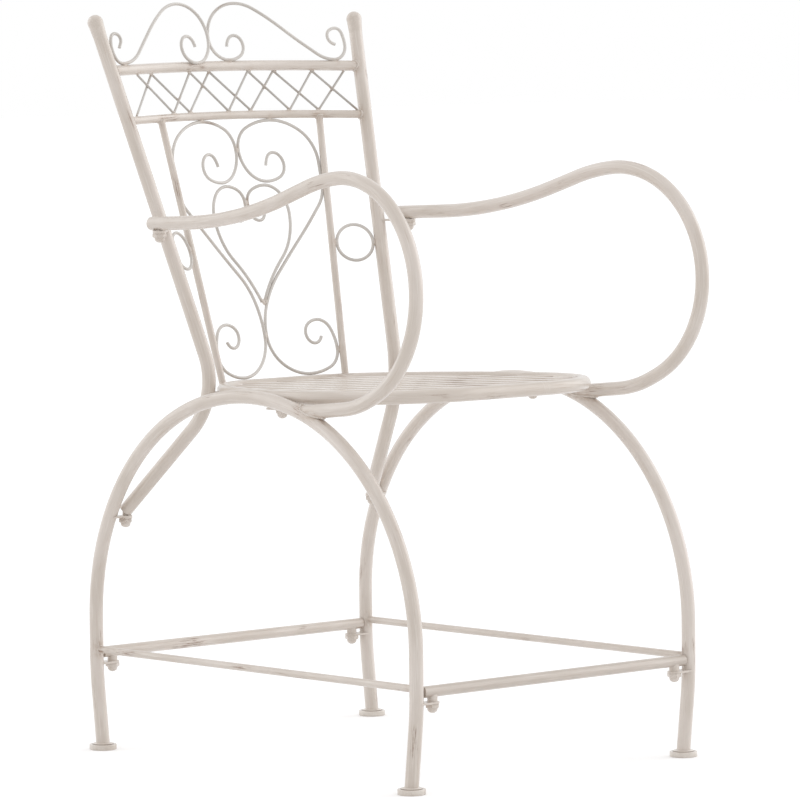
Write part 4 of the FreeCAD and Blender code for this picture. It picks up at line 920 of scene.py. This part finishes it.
def crease(bar, last, main):
    """Closed line where the last or first end of a bar, or that end's rim, meets a main tube."""
    (line, radius), (main_line, main_radius) = bars[bar], bars[main]
    end, before = (line[-1], line[-2]) if last else (line[0], line[1])
    at = min(range(1, len(main_line) - 1), key=lambda number: (main_line[number] - end).length)
    main_at, main_heading = main_line[at], (main_line[at + 1] - main_line[at - 1]).normalized()
    heading = (end - before).normalized()
    across = heading.cross(main_heading).normalized()
    beside = heading.cross(across)
    seam = []
    for turn in (math.tau * part / SEAM_STEPS for part in range(SEAM_STEPS)):
        start = end + (across * math.cos(turn) + beside * math.sin(turn)) * radius - heading * SEAM_REACH
        gap = start - main_at
        gap -= main_heading * gap.dot(main_heading)
        pace = heading - main_heading * heading.dot(main_heading)
        middle, room = gap.dot(pace), gap.length_squared - main_radius ** 2
        root = math.sqrt(max(middle ** 2 - pace.length_squared * room, 0))
        seam.append(start + heading * min((-middle - root) / pace.length_squared, SEAM_REACH))
    return seam


def searchable(points):
    """Points made ready to be searched for the nearest one."""
    tree = kdtree.KDTree(len(points))
    for number, point in enumerate(points):
        tree.insert(point, number)
    tree.balance()
    return tree


def touching(one, one_radius, two, two_radius):
    """Spots where two bars touch: place, direction along the first, and the thinner radius."""
    near_two, runs = searchable(two), [[]]
    for number, point in enumerate(one):
        near, _, gap = near_two.find(point)
        if gap < one_radius + two_radius + TACK_GAP:
            runs[-1].append((gap, number, near))
        elif runs[-1]:
            runs.append([])
    for _, number, near in (min(run) for run in runs if run):
        share = one_radius / (one_radius + two_radius)
        ahead = one[min(number + 1, len(one) - 1)] - one[max(number - 1, 0)]
        yield one[number].lerp(near, share), ahead.normalized(), min(one_radius, two_radius)


WELD_BEAD, WELD_TACK = weld_tree(), tack_tree()
weld_paint = aged_paint("aged_cream_on_welds", wear=0.6, tone=0.1, along_stock=False)
loops, small_loops = [], []
for name, side in SIDES:
    arch = f"{name}_leg_arch_tube"
    loops += [crease(rail, side > 0, f"{name}_post_tube") for rail in ("top_rail_bar", "lattice_rail_bar")]
    loops.append(crease(f"{name}_arm_tube", True, arch))
    small_loops += [crease(f"{name}_side_rod_bar", last, arch) for last in (False, True)]
    small_loops.append(crease(f"{name}_upright_rod", True, "lattice_rail_bar"))
for name, seams, bead in (("joint_beads", loops, BEAD), ("rod_beads", small_loops, BEAD * ROD_BEAD)):
    beads = grown(name, lines_mesh(name, seams, closed=True), WELD_BEAD, {
        "Bead": bead * MM, "Unevenness": bead * BEAD_SWELL * MM, "Seed": 4.0, "Paint": weld_paint})
    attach(beads, "root")

wires = [name for name in bars if any(word in name for word in ("_bent", "side_ring", "lattice", "upright"))]
carriers = ["top_rail_bar", "seat_ring_tube", "left_post_tube", "right_post_tube"]
tacked = []
for number, one in enumerate(wires):
    for two in wires[number + 1:] + carriers:
        (one_line, one_radius), (two_line, two_radius) = bars[one], bars[two]
        tacked += touching(evened(one_line, TACK_STEP), one_radius, evened(two_line, TACK_STEP), two_radius)
spots = [spot for spot, along, girth in tacked]
tacks = lines_mesh("tacks", [[spot] for spot in spots])
tacks.attributes.new("along", "FLOAT_VECTOR", "POINT").data.foreach_set(
    "vector", [value for spot, along, girth in tacked for value in along])
tacks.attributes.new("girth", "FLOAT", "POINT").data.foreach_set(
    "value", [girth * TACK_GIRTH * MM for spot, along, girth in tacked])
tacks = grown("scroll_tacks", tacks, WELD_TACK, {
    "Half length": TACK_LENGTH * MM, "Unevenness": TACK_SWELL * MM, "Seed": 9, "Paint": weld_paint})
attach(tacks, "root")

# The paint reads near_joint: 1 at a weld or tack, 0 from 25 mm away.
joints = searchable([point for loop in loops + small_loops for point in loop] + spots)
for name in bars:
    mesh = bpy.data.objects[name].data
    gaps = (joints.find(vertex.co / MM)[2] for vertex in mesh.vertices)
    mesh.attributes.new("near_joint", "FLOAT", "POINT").data.foreach_set(
        "value", [max(0.0, 1 - gap / JOINT_REACH) for gap in gaps])


# Studio
# White paper under and behind the chair and large soft boxes over it, with the camera where the
# photograph was taken from.
PAPER, PAPER_LIFT, PAPER_HALF = "#F4F4F4", 0.2, 30.0
SKY, SKY_LEVEL, WHITE = "#F7F7F8", 0.85, "#FFFFFF"


def lens_sees(tree):
    """1 where the lens, a reflection or clear glass looks, 0 for light that falls on the chair."""
    path = add_node(tree, "ShaderNodeLightPath").outputs
    shiny = add_node(tree, "ShaderNodeMath", {
        0: path["Is Glossy Ray"], 1: path["Is Transmission Ray"]}, operation="MAXIMUM")
    return add_node(tree, "ShaderNodeMath", {0: path["Is Camera Ray"], 1: shiny}, operation="MAXIMUM")


# Matt paper, lifted to white for the lens but still darkened where the chair shades it.
paper = bpy.data.materials.new("white_studio_paper")
paper.use_nodes = True
tree = paper.node_tree
tree.nodes.clear()
matt = add_node(tree, "ShaderNodeBsdfDiffuse", {"Color": linear(PAPER)})
glow = add_node(tree, "ShaderNodeEmission", {"Color": linear(WHITE), "Strength": PAPER_LIFT})
lifted = add_node(tree, "ShaderNodeAddShader", {0: matt, 1: glow})
seen = add_node(tree, "ShaderNodeMixShader", {"Fac": lens_sees(tree), 1: matt, 2: lifted})
add_node(tree, "ShaderNodeOutputMaterial", {"Surface": seen})

floor = bmesh.new()
bmesh.ops.create_grid(floor, x_segments=2, y_segments=2, size=PAPER_HALF)
floor = mesh_piece("studio_floor", floor, paper)

scene.world = bpy.data.worlds.new("white_studio")
scene.world.use_nodes = True
tree = scene.world.node_tree
tree.nodes.clear()
dim = add_node(tree, "ShaderNodeBackground", {"Color": linear(SKY), "Strength": SKY_LEVEL})
white = add_node(tree, "ShaderNodeBackground", {"Color": linear(WHITE), "Strength": 1.0})
both = add_node(tree, "ShaderNodeMixShader", {"Fac": lens_sees(tree), 1: dim, 2: white})
add_node(tree, "ShaderNodeOutputWorld", {"Surface": both})

SOFT_BOXES = (("overhead", (0.0, 0.0, 1.0), 60.0, 0.25), ("left", (-0.54, 0.89, 0.3), 60.0, 0.5),
              ("right", (0.94, -0.45, 0.3), 60.0, 0.95))
for name, direction, spread, strength in SOFT_BOXES:
    lamp = placed(name, bpy.data.lights.new(name, "SUN"))
    lamp.data.energy, lamp.data.angle = strength, math.radians(spread)
    lamp.rotation_euler = Vector(direction).to_track_quat("Z", "Y").to_euler()
scene.view_settings.view_transform = "Standard"

CAMERA_FOCAL_PX, PHOTO_PX, SENSOR_MM, CAMERA_REACH = 5607.4, 800, 36.0, 60.0
CAMERA_AT = Vector((-4884.8, -5398.6, 994.4))
CAMERA_YAW, CAMERA_PITCH, CAMERA_ROLL = 42.27, 4.18, -0.57

camera = placed("camera", bpy.data.cameras.new("camera"))
camera.data.sensor_width = SENSOR_MM
camera.data.lens = CAMERA_FOCAL_PX / PHOTO_PX * SENSOR_MM
camera.data.clip_end = CAMERA_REACH
stand = Matrix.Translation(CAMERA_AT * MM)
for angle, axis in ((-CAMERA_YAW, "Z"), (90 - CAMERA_PITCH, "X"), (CAMERA_ROLL, "Z")):
    stand = stand @ Matrix.Rotation(math.radians(angle), 4, axis)
camera.matrix_world = stand
scene.camera = camera
